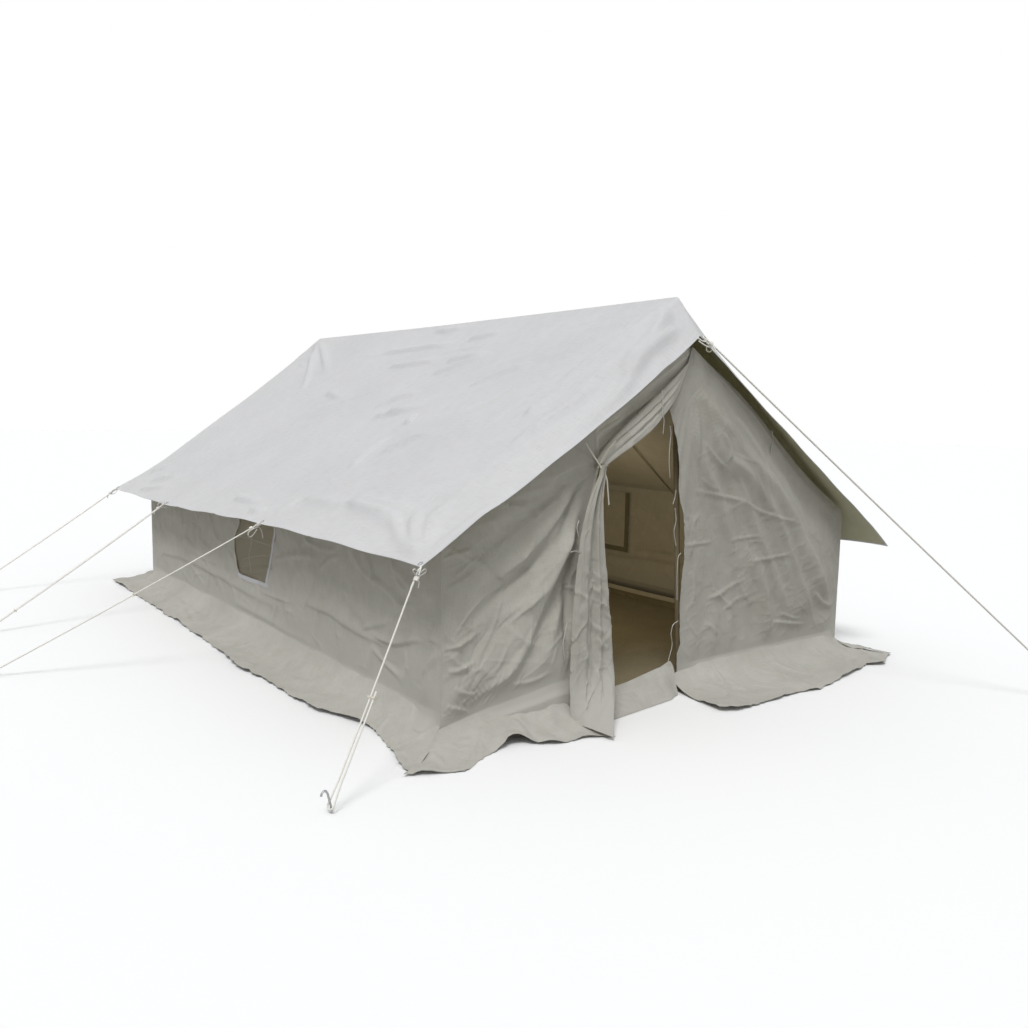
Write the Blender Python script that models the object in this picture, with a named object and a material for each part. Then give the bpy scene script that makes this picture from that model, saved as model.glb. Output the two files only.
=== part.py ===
"""Double fly ridge tent, 4 m by 6 m, pitched with its front door half open.

Metres, +Z up. The origin is on the ground under the middle of the tent. The ridge runs along Y, the
front door faces -Y, and the side with the guy ropes is at -X.
"""
import math

import bmesh
import bpy
from mathutils import Vector

# Inner tent
ROOM_HALF_WIDTH = 2.00
ROOM_HALF_LENGTH = 3.00
WALL_HEIGHT = 1.20
INNER_RIDGE_HEIGHT = 2.35
RIDGE_X = 0.05

# Outer fly
FLY_RIDGE_HEIGHT = 2.825
FLY_RIDGE_SAG = 0.012
FLY_EAVE_X = 2.30
FLY_LEFT_EAVE = 1.10
FLY_LEFT_EAVE_RISE = 0.055
FLY_RIGHT_BEND_X = 2.06
FLY_RIGHT_BEND_HEIGHT = 1.255
FLY_RIGHT_HEM_DROP = 0.115
FLY_RIGHT_EAVE = 0.91
FLY_SLOPE_SAG = 0.03
FLY_FRONT_KINK = -2.86
FLY_FRONT_APEX = -3.08
FLY_BACK_KINK = 3.04
FLY_BACK_APEX = 3.12
FLY_CORNER_Y = 3.26
FLY_HOOD_DROP = 0.285

# Cloth and clearances
CLOTH = 0.004
GAP = 0.0004
PANEL_FOOT = 0.006

# Frame
UPRIGHT_FEET = {"front": (0.125, -2.94), "middle": (0.05, 0.0), "back": (0.05, 2.93)}
UPRIGHT_TOPS = {"front": -2.83, "middle": 0.0, "back": 2.93}
UPRIGHT_RADIUS = 0.021
UPRIGHT_BORE = 0.0185
UPPER_SPIGOT_RADIUS = 0.0175
UPPER_BORE = 0.0155
UPRIGHT_JOINT_HEIGHT = 1.42
FOOT_RADIUS = 0.035
FOOT_SPIGOT_RADIUS = 0.0155
RIDGE_POLE_HEIGHT = 2.770
RIDGE_POLE_RADIUS = 0.019
RIDGE_POLE_BORE = 0.0165
RIDGE_POLE_ENDS = (-2.855, 3.035)
RIDGE_POLE_SPLIT = 0.10
PIN_RADIUS = 0.006
PIN_HOLE = 0.009
PIN_HEAD = 0.022
WALL_POLE_RADIUS = 0.0125
WALL_POLE_X = 1.955
WALL_POLE_YS = {"front": -2.945, "fore": -1.60, "aft": 1.60, "back": 2.945}
WALL_POLE_TOP = 1.17
FLOOR_THICKNESS = 0.003
FLOOR_RIM = 0.08

# Windows, the same in both side walls
WINDOW_Y = (-0.42, 0.38)
WINDOW_Z = (0.54, 1.10)
WINDOW_FLAP_LAP = 0.04
WINDOW_FLAP_X = 1.974
WINDOW_FLAP_OPEN = math.radians(110)

# Front door
TIE = Vector((-0.81, -3.06, 1.63))
FLAP_HINGE_TOP = Vector((-0.175, -3.002, 2.09))
FLAP_HINGE_FOOT = Vector((0.95, -3.002, 0.068))
FLAP_GAP = 0.006

# Guy ropes: eyelet, peg, place of the runner along the line, and whether both strands reach the eyelet
ROPE_RADIUS = 0.0055
STRAND_HALF_GAP = 0.0125
PEG_TURN_RADIUS = 0.020
PEG_HOLD = (0.005, 0.040)
ROPE_SAG = 0.010
GUYS = {
    "back_left": ((-2.312, 3.270, 1.037), (-3.75, 3.355), 0.86, True),
    "side_back": ((-2.312, 1.450, 1.043), (-3.80, 1.430), 0.86, True),
    "side_front": ((-2.312, -0.960, 1.126), (-3.95, -0.010), 0.47, False),
    "front_left": ((-2.310, -3.270, 1.144), (-2.92, -3.450), 0.555, False),
    "ridge_front": ((0.085, -3.100, 2.522), (2.20, -4.840), 0.93, True),
}
RUNNER_SIZE = (0.052, 0.022, 0.009)
RUNNER_HOLE = 0.0062


def clear_scene():
    for old in list(bpy.data.objects):
        bpy.data.objects.remove(old, do_unlink=True)


def finish_material(name, color, roughness, metallic=0.0):
    material = bpy.data.materials.new(name)
    material.use_nodes = True
    shader = material.node_tree.nodes["Principled BSDF"]
    shader.inputs["Base Color"].default_value = (*color, 1.0)
    shader.inputs["Roughness"].default_value = roughness
    shader.inputs["Metallic"].default_value = metallic
    return material


clear_scene()
CANVAS = ((0.56, 0.55, 0.52), 0.9, 0.0)
FLY_CANVAS = ((0.68, 0.68, 0.68), 0.9, 0.0)
GROUND_CLOTH = ((0.30, 0.28, 0.23), 0.8, 0.0)
STEEL = ((0.45, 0.46, 0.47), 0.35, 0.9)
ROPE_FIBRE = ((0.80, 0.79, 0.72), 0.9, 0.0)
NYLON = ((0.82, 0.80, 0.74), 0.5, 0.0)


def add_object(name, mesh, finish, location=(0, 0, 0)):
    mesh.materials.append(finish_material(name, *finish))
    obj = bpy.data.objects.new(name, mesh)
    obj.location = location
    bpy.context.scene.collection.objects.link(obj)
    return obj


def closed_mesh(name, points, faces, smooth_angle=None):
    """Build a mesh, turn its faces outward, and shade it smooth below an angle."""
    mesh = bpy.data.meshes.new(name)
    bm = bmesh.new()
    verts = [bm.verts.new(p) for p in points]
    for face in faces:
        bm.faces.new([verts[i] for i in face])
    bmesh.ops.recalc_face_normals(bm, faces=bm.faces)
    bm.to_mesh(mesh)
    bm.free()
    if smooth_angle is not None:
        mesh.shade_smooth()
        mesh.set_sharp_from_angle(angle=smooth_angle)
    return mesh


def sheet_solid(name, outer, inner, faces, finish, origin=(0, 0, 0)):
    """Close two matching layers of points into one solid, with a wall along every open edge."""
    count = len(outer)
    edge_use = {}
    for face in faces:
        for a, b in zip(face, face[1:] + face[:1]):
            key = (min(a, b), max(a, b))
            edge_use.setdefault(key, []).append((a, b))
    solid_faces = [tuple(face) for face in faces]
    solid_faces += [tuple(i + count for i in reversed(face)) for face in faces]
    for uses in edge_use.values():
        if len(uses) == 1:
            a, b = uses[0]
            solid_faces.append((b, a, a + count, b + count))
    base = Vector(origin)
    points = [Vector(p) - base for p in outer] + [Vector(p) - base for p in inner]
    used = sorted({i for face in solid_faces for i in face})
    order = {old: new for new, old in enumerate(used)}
    points = [points[i] for i in used]
    solid_faces = [tuple(order[i] for i in face) for face in solid_faces]
    return add_object(name, closed_mesh(name, points, solid_faces, math.radians(40)), finish, origin)


def spread(low, high, count):
    return [low + (high - low) * i / count for i in range(count + 1)]


def cloth(name, us, vs, place, inward, finish=CANVAS, holes=(), origin=(0, 0, 0), thickness=CLOTH):
    """A sheet over the grid us x vs. place gives a point, inward the direction of its thickness."""
    outer = [place(u, v) for v in vs for u in us]
    if callable(inward):
        offsets = [inward(u, v) * thickness for v in vs for u in us]
    else:
        offsets = [Vector(inward) * thickness] * len(outer)
    inner = [p + offset for p, offset in zip(outer, offsets)]
    faces = []
    columns = len(us)
    for j in range(len(vs) - 1):
        for i in range(columns - 1):
            middle = ((us[i] + us[i + 1]) / 2, (vs[j] + vs[j + 1]) / 2)
            if any(a < middle[0] < b and c < middle[1] < d for a, b, c, d in holes):
                continue
            first = j * columns + i
            faces.append([first, first + 1, first + 1 + columns, first + columns])
    return sheet_solid(name, outer, inner, faces, finish, origin)


def turned(name, profile, finish, location, sides=16, ring=False):
    """Turn (radius, height) points round Z. A ring profile closes on itself, the other on the axis."""
    points = []
    rows = []
    for radius, height in profile:
        if radius == 0:
            rows.append([len(points)] * sides)
            points.append((0, 0, height))
        else:
            rows.append([len(points) + k for k in range(sides)])
            for k in range(sides):
                angle = 2 * math.pi * k / sides
                points.append((radius * math.cos(angle), radius * math.sin(angle), height))
    pairs = list(zip(rows, rows[1:]))
    if ring:
        pairs.append((rows[-1], rows[0]))
    faces = []
    for low, high in pairs:
        for k in range(sides):
            after = (k + 1) % sides
            face = [low[k], low[after], high[after], high[k]]
            unique = list(dict.fromkeys(face))
            if len(unique) > 2:
                faces.append(unique)
    return add_object(name, closed_mesh(name, points, faces, math.radians(35)), finish, location)


def tube(name, outer, bore, low, high, finish, location, sides=16):
    profile = [(outer, low), (outer, high), (bore, high), (bore, low)]
    return turned(name, profile, finish, location, sides, ring=True)


def wire(name, points, radius, finish, resolution=2, closed=False):
    """A round cord or rod through the points, with filled ends."""
    curve = bpy.data.curves.new(name, "CURVE")
    curve.dimensions = "3D"
    curve.bevel_depth = radius
    curve.bevel_resolution = resolution
    curve.use_fill_caps = not closed
    spline = curve.splines.new("POLY")
    spline.points.add(len(points) - 1)
    spline.use_cyclic_u = closed
    for slot, point in zip(spline.points, points):
        slot.co = (*point, 1.0)
    curve.materials.append(finish_material(name, *finish))
    obj = bpy.data.objects.new(name, curve)
    bpy.context.scene.collection.objects.link(obj)
    return obj


def blend_between(value, points):
    """Straight interpolation of (position, value) points in rising order, flat beyond the ends."""
    if value <= points[0][0]:
        return points[0][1]
    for (a, fa), (b, fb) in zip(points, points[1:]):
        if value <= b:
            return fa + (fb - fa) * (value - a) / (b - a)
    return points[-1][1]


def inner_slope(x):
    """Height of the inner roof over x."""
    reach = ROOM_HALF_WIDTH - RIDGE_X if x > RIDGE_X else ROOM_HALF_WIDTH + RIDGE_X
    return INNER_RIDGE_HEIGHT - (INNER_RIDGE_HEIGHT - WALL_HEIGHT) * abs(x - RIDGE_X) / reach


# Steel frame: three uprights in two lengths, a ridge pole in two lengths, eight wall poles
def upright_lean(place):
    """The foot of an upright and its direction, up to the axis of the ridge pole."""
    foot = Vector((*UPRIGHT_FEET[place], 0))
    return foot, Vector((RIDGE_X, UPRIGHT_TOPS[place], RIDGE_POLE_HEIGHT)) - foot


def build_upright(place):
    """A foot plate flat on the floor, two tubes that plug together, and a pin for the ridge pole."""
    foot, rise = upright_lean(place)
    base = FLOOR_THICKNESS + GAP
    plate = base + 0.006
    turned(f"upright_{place}_foot", [(0, base), (FOOT_RADIUS, base), (FOOT_RADIUS, plate),
           (FOOT_SPIGOT_RADIUS, plate), (FOOT_SPIGOT_RADIUS, 0.055), (0, 0.055)], STEEL, foot)
    tilt = rise.to_track_quat("Z", "Y").to_euler()
    shoulder = UPRIGHT_JOINT_HEIGHT + GAP
    top = rise.length - RIDGE_POLE_RADIUS - 0.006
    lower = tube(f"upright_{place}_lower", UPRIGHT_RADIUS, UPRIGHT_BORE, plate + 0.0015,
                 UPRIGHT_JOINT_HEIGHT, STEEL, foot)
    upper = turned(f"upright_{place}_upper",
                   [(UPPER_SPIGOT_RADIUS, shoulder - 0.12), (UPPER_SPIGOT_RADIUS, shoulder),
                    (UPRIGHT_RADIUS, shoulder), (UPRIGHT_RADIUS, top), (UPPER_BORE, top),
                    (UPPER_BORE, shoulder - 0.12)], STEEL, foot, ring=True)
    plug = UPPER_BORE - 0.001
    rim = top + 0.0044
    tip = rise.length + PIN_HEAD
    spigot = turned(f"upright_{place}_spigot",
                    [(0, top - 0.05), (plug, top - 0.05), (plug, top + GAP), (UPRIGHT_RADIUS, top + GAP),
                     (UPRIGHT_RADIUS, rim), (PIN_RADIUS, rim), (PIN_RADIUS, tip), (0, tip)], STEEL, foot)
    for piece in (lower, upper, spigot):
        piece.rotation_euler = tilt


def ridge_section(name, low, high, outer=RIDGE_POLE_RADIUS, bore=RIDGE_POLE_BORE):
    pole = tube(name, outer, bore, low, high, STEEL, (RIDGE_X, 0, RIDGE_POLE_HEIGHT))
    pole.rotation_euler = (-math.pi / 2, 0, 0)
    return pole


def drill(pole, place):
    foot, rise = upright_lean(place)
    cutter = turned(f"cutter_{place}", [(0, -0.05), (PIN_HOLE, -0.05), (PIN_HOLE, 0.05), (0, 0.05)],
                    STEEL, foot + rise, sides=12)
    cutter.rotation_euler = rise.to_track_quat("Z", "Y").to_euler()
    cutter.hide_render = True
    cutter.display_type = "WIRE"
    cut = pole.modifiers.new("pin_hole", "BOOLEAN")
    cut.operation = "DIFFERENCE"
    cut.solver = "EXACT"
    cut.object = cutter


def build_frame():
    for place in UPRIGHT_FEET:
        build_upright(place)
    front = ridge_section("ridge_pole_front", RIDGE_POLE_ENDS[0], RIDGE_POLE_SPLIT)
    back = ridge_section("ridge_pole_back", RIDGE_POLE_SPLIT + GAP, RIDGE_POLE_ENDS[1])
    ridge_section("ridge_pole_sleeve", RIDGE_POLE_SPLIT - 0.07, RIDGE_POLE_SPLIT + 0.07, 0.022, 0.0195)
    drill(front, "front")
    drill(front, "middle")
    drill(back, "back")
    base = FLOOR_THICKNESS + GAP
    for side, x in (("left", -WALL_POLE_X), ("right", WALL_POLE_X)):
        for place, y in WALL_POLE_YS.items():
            tube(f"wall_pole_{side}_{place}", WALL_POLE_RADIUS, 0.011, base, WALL_POLE_TOP, STEEL,
                 (x, y, 0), sides=12)


# Outer fly: one sheet over the ridge pole, drooping past both ends and sagging down each slope
def fly_cross(side, s, y, droop):
    """x and z of the fly at s from the ridge, 0, to the eave, 1. droop rises to 1 at an end hem."""
    ridge = FLY_RIDGE_HEIGHT - FLY_RIDGE_SAG * math.cos(math.pi * y / (2 * FLY_CORNER_Y))
    if side < 0:
        eave = FLY_LEFT_EAVE - FLY_LEFT_EAVE_RISE * math.tanh(y / 1.2)
        x = RIDGE_X - (FLY_EAVE_X + RIDGE_X) * s
        z = ridge - (ridge - eave) * s
    else:
        x = RIDGE_X + (FLY_EAVE_X - RIDGE_X) * s
        bend = (FLY_RIGHT_BEND_X - RIDGE_X) / (FLY_EAVE_X - RIDGE_X)
        bend_height = FLY_RIGHT_BEND_HEIGHT - FLY_RIGHT_HEM_DROP * droop
        z = blend_between(s, [(0, ridge), (bend, bend_height), (1, FLY_RIGHT_EAVE)])
    return x, z - 4 * FLY_SLOPE_SAG * s * (1 - s)


def fly_point(u, v):
    """u runs from the left eave, -1, to the right, 1. v runs from the front hem, -1, to the back, 1."""
    side = -1 if u < 0 else 1
    s = abs(u)
    kink_y, apex_y, corner_y = FLY_BACK_KINK, FLY_BACK_APEX, FLY_CORNER_Y
    if v < 0:
        kink_y, apex_y, corner_y = FLY_FRONT_KINK, FLY_FRONT_APEX, -FLY_CORNER_Y
    kink = 0.9
    y = kink_y * min(abs(v) / kink, 1)
    droop = max((abs(v) - kink) / (1 - kink), 0)
    y += (apex_y + (corner_y - apex_y) * s ** 0.7 - kink_y) * droop
    x, z = fly_cross(side, s, y, droop)
    return Vector((x, y, z - FLY_HOOD_DROP * (1 - s) * droop))


def fly_inward(u, v):
    step = 0.01
    across = fly_point(min(u + step, 1), v) - fly_point(max(u - step, -1), v)
    along = fly_point(u, min(v + step, 1)) - fly_point(u, max(v - step, -1))
    return -across.cross(along).normalized()


def build_fly():
    halves = [0.0, 0.08, 0.25, 0.45, 0.65, 0.82, 0.893, 1.0]
    us = [-s for s in reversed(halves[1:])] + halves
    ends = [0.15, 0.45, 0.75, 0.9, 0.95, 1.0]
    vs = [-t for t in reversed(ends)] + ends
    cloth("outer_fly", us, vs, fly_point, fly_inward, FLY_CANVAS)


# Inner tent
def build_inner_roof():
    """One sheet over the ridge, with an eyelet round each upright."""
    hole = 0.035
    passes = []
    for place in UPRIGHT_FEET:
        foot, rise = upright_lean(place)
        passes.append((foot + rise * (INNER_RIDGE_HEIGHT - 0.01) / rise.z).y)
    xs = [-1.99, -1.3, -0.6, RIDGE_X - hole, RIDGE_X, RIDGE_X + hole, 0.7, 1.35, 1.99]
    ys = [-2.99] + [y + step for y in passes for step in (-hole, hole)] + [2.99]
    holes = [(RIDGE_X - hole, RIDGE_X + hole, y - hole, y + hole) for y in passes]
    cloth("inner_roof", xs, ys, lambda x, y: Vector((x, y, inner_slope(x))), (0, 0, -1), holes=holes)


def build_side_wall(name, side):
    """A wall with soft upright folds and a window opening, flat beside the window."""
    def place(y, z):
        fade = math.sin(math.pi * min(max((z - PANEL_FOOT) / (WALL_HEIGHT - PANEL_FOOT), 0), 1))
        fade *= min(max((abs(y - sum(WINDOW_Y) / 2) - 1.15) / 0.5, 0), 1)
        fold = 0.009 * fade * (1 + math.sin(2 * math.pi * y / 0.9 + 1.1 * z))
        return Vector((side * (ROOM_HALF_WIDTH + fold), y, z))
    ys = spread(-2.985, WINDOW_Y[0], 8) + spread(WINDOW_Y[0], WINDOW_Y[1], 3)[1:]
    ys += spread(WINDOW_Y[1], 2.985, 8)[1:]
    zs = [PANEL_FOOT, 0.27, WINDOW_Z[0], 0.82, WINDOW_Z[1], WALL_HEIGHT - 0.01]
    cloth(name, ys, zs, place, (-side, 0, 0), holes=[(*WINDOW_Y, *WINDOW_Z)])


def build_window_flap(name, side, open_angle):
    """A flap inside the wall, hinged over the window and hanging on it or held up under the roof."""
    hinge = Vector((side * WINDOW_FLAP_X, 0, WINDOW_Z[1] + WINDOW_FLAP_LAP))
    drop = WINDOW_Z[1] - WINDOW_Z[0] + 2 * WINDOW_FLAP_LAP
    reach = Vector((-side * math.sin(open_angle), 0, -math.cos(open_angle)))
    face = Vector((side * math.cos(open_angle), 0, -math.sin(open_angle)))

    def place(y, down):
        swell = 0.006 * math.sin(math.pi * down) * math.cos(2 * math.pi * (y + 0.02) / 0.45)
        return hinge + Vector((0, y, 0)) + reach * drop * down + face * swell
    ys = spread(WINDOW_Y[0] - WINDOW_FLAP_LAP, WINDOW_Y[1] + WINDOW_FLAP_LAP, 8)
    cloth(name, ys, spread(0.0, 1.0, 4), place, -face, origin=hinge)


DOOR_LEFT_EDGE = [(0.0, -1.10), (0.53, -1.02), (1.04, -0.94), (1.37, -0.88), (1.63, -0.81), (2.0, -0.81)]
DOOR_RIGHT_EDGE = [(0.0, 0.045), (0.40, 0.04), (0.66, 0.02), (1.03, -0.02), (1.45, -0.07),
                   (1.68, -0.10), (2.06, -0.18), (2.40, -0.20)]


def fan_folds(x, z, hub_x, hub_z, count, phase):
    """Folds that fan out of a hub, 0 to 1, and die away at the hub itself."""
    angle = math.atan2(z - hub_z, x - hub_x)
    distance = math.hypot(x - hub_x, z - hub_z)
    return (0.5 + 0.5 * math.cos(count * angle + phase)) * min(distance / 0.5, 1.0)


def build_front_left():
    """The fixed half of the front, drawn in folds to the tie, and the strip under the roof."""
    left = -ROOM_HALF_WIDTH + 0.01
    top_edge = blend_between(2.0, DOOR_LEFT_EDGE)

    def place(u, v):
        right = blend_between(v * 1.89, DOOR_LEFT_EDGE)
        x = left + u * (right - left)
        top = inner_slope(left + u * (top_edge - left))
        z = PANEL_FOOT + v * (top - PANEL_FOOT)
        fade = min(u / 0.15, 1) * min((1 - v) / 0.15, 1) * min(z / 0.7, 1)
        fold = 0.038 * fade * fan_folds(x, z, TIE.x, TIE.z, 16, 0.4)
        return Vector((x, -ROOM_HALF_LENGTH - fold, z))
    cloth("gable_front_left", spread(0, 1, 20), spread(0, 1, 12), place, (0, 1, 0))

    def strip(x, v):
        return Vector((x, -ROOM_HALF_LENGTH, inner_slope(x) - 0.18 * (1 - v)))
    cloth("gable_front_header", spread(top_edge + 0.006, RIDGE_X - 0.255, 4), [0.0, 1.0], strip, (0, 1, 0))


def hinge_x(z):
    """x of the fold line that the right flap turns on, and of the door edge above it."""
    if z > FLAP_HINGE_TOP.z:
        return blend_between(z, DOOR_RIGHT_EDGE)
    share = (FLAP_HINGE_TOP.z - z) / (FLAP_HINGE_TOP.z - FLAP_HINGE_FOOT.z)
    return FLAP_HINGE_TOP.x + share * (FLAP_HINGE_FOOT.x - FLAP_HINGE_TOP.x)


def right_fold(x, z):
    """Long folds that fall to the right from the apex, flat beside the hinge line and at the foot."""
    beside = min(abs(x - hinge_x(z)) / 0.18, 1)
    return 0.016 * beside * min(z / 0.4, 1) * fan_folds(x, z, RIDGE_X, INNER_RIDGE_HEIGHT, 22, 1.0)


def build_front_right():
    """The fixed right part, and the flap that folds back on the line from the apex to the ground."""
    def panel(u, z):
        share = (INNER_RIDGE_HEIGHT - z) / (INNER_RIDGE_HEIGHT - WALL_HEIGHT)
        left = max(hinge_x(z) + FLAP_GAP, RIDGE_X - (ROOM_HALF_WIDTH + RIDGE_X) * share + 0.01)
        right = min(ROOM_HALF_WIDTH, RIDGE_X + (ROOM_HALF_WIDTH - RIDGE_X) * share) - 0.01
        x = left + u * (right - left)
        fade = min((1 - u) / 0.15, 1)
        return Vector((x, -ROOM_HALF_LENGTH - fade * right_fold(x, z), z))
    rows = spread(PANEL_FOOT, WALL_HEIGHT, 5) + spread(WALL_HEIGHT, INNER_RIDGE_HEIGHT - 0.012, 5)[1:]
    cloth("gable_front_right", spread(0, 1, 12), rows, panel, (0, 1, 0))

    def flap(u, z):
        right = hinge_x(z)
        left = min(blend_between(z, DOOR_RIGHT_EDGE), right - 0.012)
        x = left + u * (right - left)
        return Vector((x, FLAP_HINGE_FOOT.y - right_fold(x, z), z))
    rows = spread(FLAP_HINGE_FOOT.z, FLAP_HINGE_TOP.z - 0.03, 10)
    cloth("door_flap_right", spread(0, 1, 8), rows, flap, (0, 1, 0), origin=FLAP_HINGE_FOOT)


def build_tied_flap():
    """The left door flap: its top folded back up to the apex, its tail hanging from the tie."""
    low = Vector((-0.80, -3.058, 1.715))
    high = Vector((-0.215, -3.050, 2.075))
    points = []
    rings = spread(0, 1, 7)
    sides = 10
    for t in rings:
        centre = low.lerp(high, t) - Vector((0, 0, 0.02 * math.sin(math.pi * t)))
        size = 0.6 + 0.4 * math.sin(math.pi * min(t + 0.15, 1.0))
        across = Vector((-0.53, 0, 0.848)) * 0.055 * size
        depth = Vector((0, -1, 0)) * 0.030 * size
        for k in range(sides):
            angle = 2 * math.pi * k / sides
            points.append(centre + across * math.cos(angle) + depth * math.sin(angle))
    faces = [tuple(range(sides)), tuple(range(len(points) - sides, len(points)))]
    for j in range(len(rings) - 1):
        for k in range(sides):
            after = (k + 1) % sides
            row = j * sides
            faces.append((row + k, row + after, row + sides + after, row + sides + k))
    mesh = closed_mesh("door_flap_left_fold", points, faces, math.radians(50))
    add_object("door_flap_left_fold", mesh, CANVAS)

    right_line = [(0.0, (-0.97, -3.40, 0.085)), (0.1, (-0.85, -3.26, 0.22)), (0.27, (-0.785, -3.15, 0.45)),
                  (0.45, (-0.78, -3.115, 0.72)), (0.7, (-0.80, -3.10, 1.10)), (0.88, (-0.82, -3.10, 1.42)),
                  (1.0, (-0.785, -3.085, 1.60))]
    left_line = [(0.0, (-1.135, -3.165, 0.125)), (0.1, (-1.125, -3.15, 0.26)), (0.27, (-1.11, -3.135, 0.50)),
                 (0.45, (-1.095, -3.125, 0.78)), (0.7, (-1.07, -3.11, 1.18)), (0.88, (-0.99, -3.10, 1.45)),
                 (1.0, (-0.86, -3.085, 1.60))]

    def on_line(line, t):
        return Vector([blend_between(t, [(at, p[axis]) for at, p in line]) for axis in range(3)])

    def tail(u, v):
        base = on_line(left_line, v).lerp(on_line(right_line, v), u)
        fold = 0.030 * (0.5 - 0.5 * math.cos(2 * math.pi * 3 * u)) * (1 - 0.6 * v)
        return base + Vector((0, -fold, 0))
    cloth("door_flap_left", spread(0, 1, 18), [t for t, _ in right_line], tail, (0, 1, 0),
          origin=TIE, thickness=0.008)
    ring = [(TIE.x + 0.040 * math.cos(a), TIE.y + 0.030 * math.sin(a), TIE.z)
            for a in spread(0, 2 * math.pi, 12)[:-1]]
    wire("door_tie_left", ring, 0.005, CANVAS, resolution=1, closed=True)


def build_back():
    def place(u, v):
        x = -ROOM_HALF_WIDTH + 0.01 + u * (2 * ROOM_HALF_WIDTH - 0.02)
        z = PANEL_FOOT + v * (inner_slope(x) - PANEL_FOOT)
        fade = math.sin(math.pi * v) * math.sin(math.pi * u)
        fold = 0.008 * fade * (1 + math.cos(2 * math.pi * x / 0.7))
        return Vector((x, ROOM_HALF_LENGTH + fold, z))
    us = sorted(spread(0, 1, 20) + [(RIDGE_X + 1.99) / 3.98])
    cloth("gable_back", us, spread(0, 1, 5), place, (0, -1, 0))


# Mud flaps: strips that leave the foot of a wall and lie on the ground. Each outer edge is a list of
# (place along the wall, distance out of it), from one end to the other.
MUD_INNER = 0.03
MUD_THICKNESS = 0.006
LEFT_EDGE = [(-3.27, 0.35), (-3.18, 0.35), (-2.85, 0.26), (-2.54, 0.20), (-2.22, 0.26), (-2.04, 0.35),
             (-1.12, 0.37), (-0.74, 0.43), (-0.13, 0.36), (0.50, 0.35), (2.24, 0.34), (3.35, 0.35)]
RIGHT_EDGE = [(-3.35, 0.28), (-3.0, 0.24), (-2.2, 0.34), (-0.8, 0.40), (0.6, 0.36), (1.7, 0.42), (3.35, 0.35)]
FRONT_LEFT_EDGE = [(-2.3493, 0.27), (-2.09, 0.40), (-1.87, 0.28), (-1.69, 0.24), (-1.59, 0.25), (-1.41, 0.37),
                   (-1.16, 0.40), (-1.02, 0.48)]
FRONT_RIGHT_EDGE = [(-0.10, 0.40), (-0.10, 0.53), (0.01, 0.60), (0.72, 0.58), (0.90, 0.62), (1.43, 0.52),
                    (1.78, 0.45), (1.90, 0.53), (2.2793, 0.35)]
BACK_EDGE = [(-2.3493, 0.35), (-1.80, 0.64), (-0.6, 0.50), (0.4, 0.56), (1.5, 0.50), (2.3493, 0.35)]


def mud_flap(name, wall_ends, heights, edge, to_world, count):
    """The inner edge runs along the wall and sits at its heights; the far edge lies flat."""
    low, high = wall_ends
    out_low, out_high = edge[0][0], edge[-1][0]

    def place(u, v):
        inner_run = low + u * (high - low)
        outer_run = out_low + u * (out_high - out_low)
        run = inner_run + v * (outer_run - inner_run)
        out = MUD_INNER + v * (blend_between(outer_run, edge) - MUD_INNER)
        wave = 0.006 * math.sin(math.pi * v) ** 2 * (1 + math.sin(2 * math.pi * run / 0.55))
        lift = blend_between(inner_run, heights) * (1 - v) ** 2
        return to_world(run, out, MUD_THICKNESS + lift + wave)
    cloth(name, spread(0, 1, count), [0, 0.15, 0.35, 0.6, 1.0], place, (0, 0, -1), thickness=MUD_THICKNESS)


def build_mud_flaps():
    corner_x, corner_y = ROOM_HALF_WIDTH + MUD_INNER, ROOM_HALF_LENGTH + MUD_INNER
    side_ends = (-corner_y, corner_y)
    inset = 0.0007
    mud_flap("mud_flap_left", side_ends, [(-3, 0.06), (3, 0.06)], LEFT_EDGE,
             lambda run, out, z: Vector((-ROOM_HALF_WIDTH - out, run, z)), 24)
    mud_flap("mud_flap_right", side_ends, [(-3, 0.05), (3, 0.06)], RIGHT_EDGE,
             lambda run, out, z: Vector((ROOM_HALF_WIDTH + out, run, z)), 16)
    mud_flap("mud_flap_front_left", (-corner_x + inset, -1.17), [(-2, 0.06), (-1.17, 0.20)], FRONT_LEFT_EDGE,
             lambda run, out, z: Vector((run, -ROOM_HALF_LENGTH - out, z)), 14)
    mud_flap("mud_flap_front_right", (-0.055, corner_x - inset), [(-0.06, 0.05), (2, 0.05)], FRONT_RIGHT_EDGE,
             lambda run, out, z: Vector((run, -ROOM_HALF_LENGTH - out, z)), 16)
    mud_flap("mud_flap_back", (-corner_x + inset, corner_x - inset), [(-2, 0.06), (2, 0.06)], BACK_EDGE,
             lambda run, out, z: Vector((run, ROOM_HALF_LENGTH + out, z)), 12)


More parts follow.
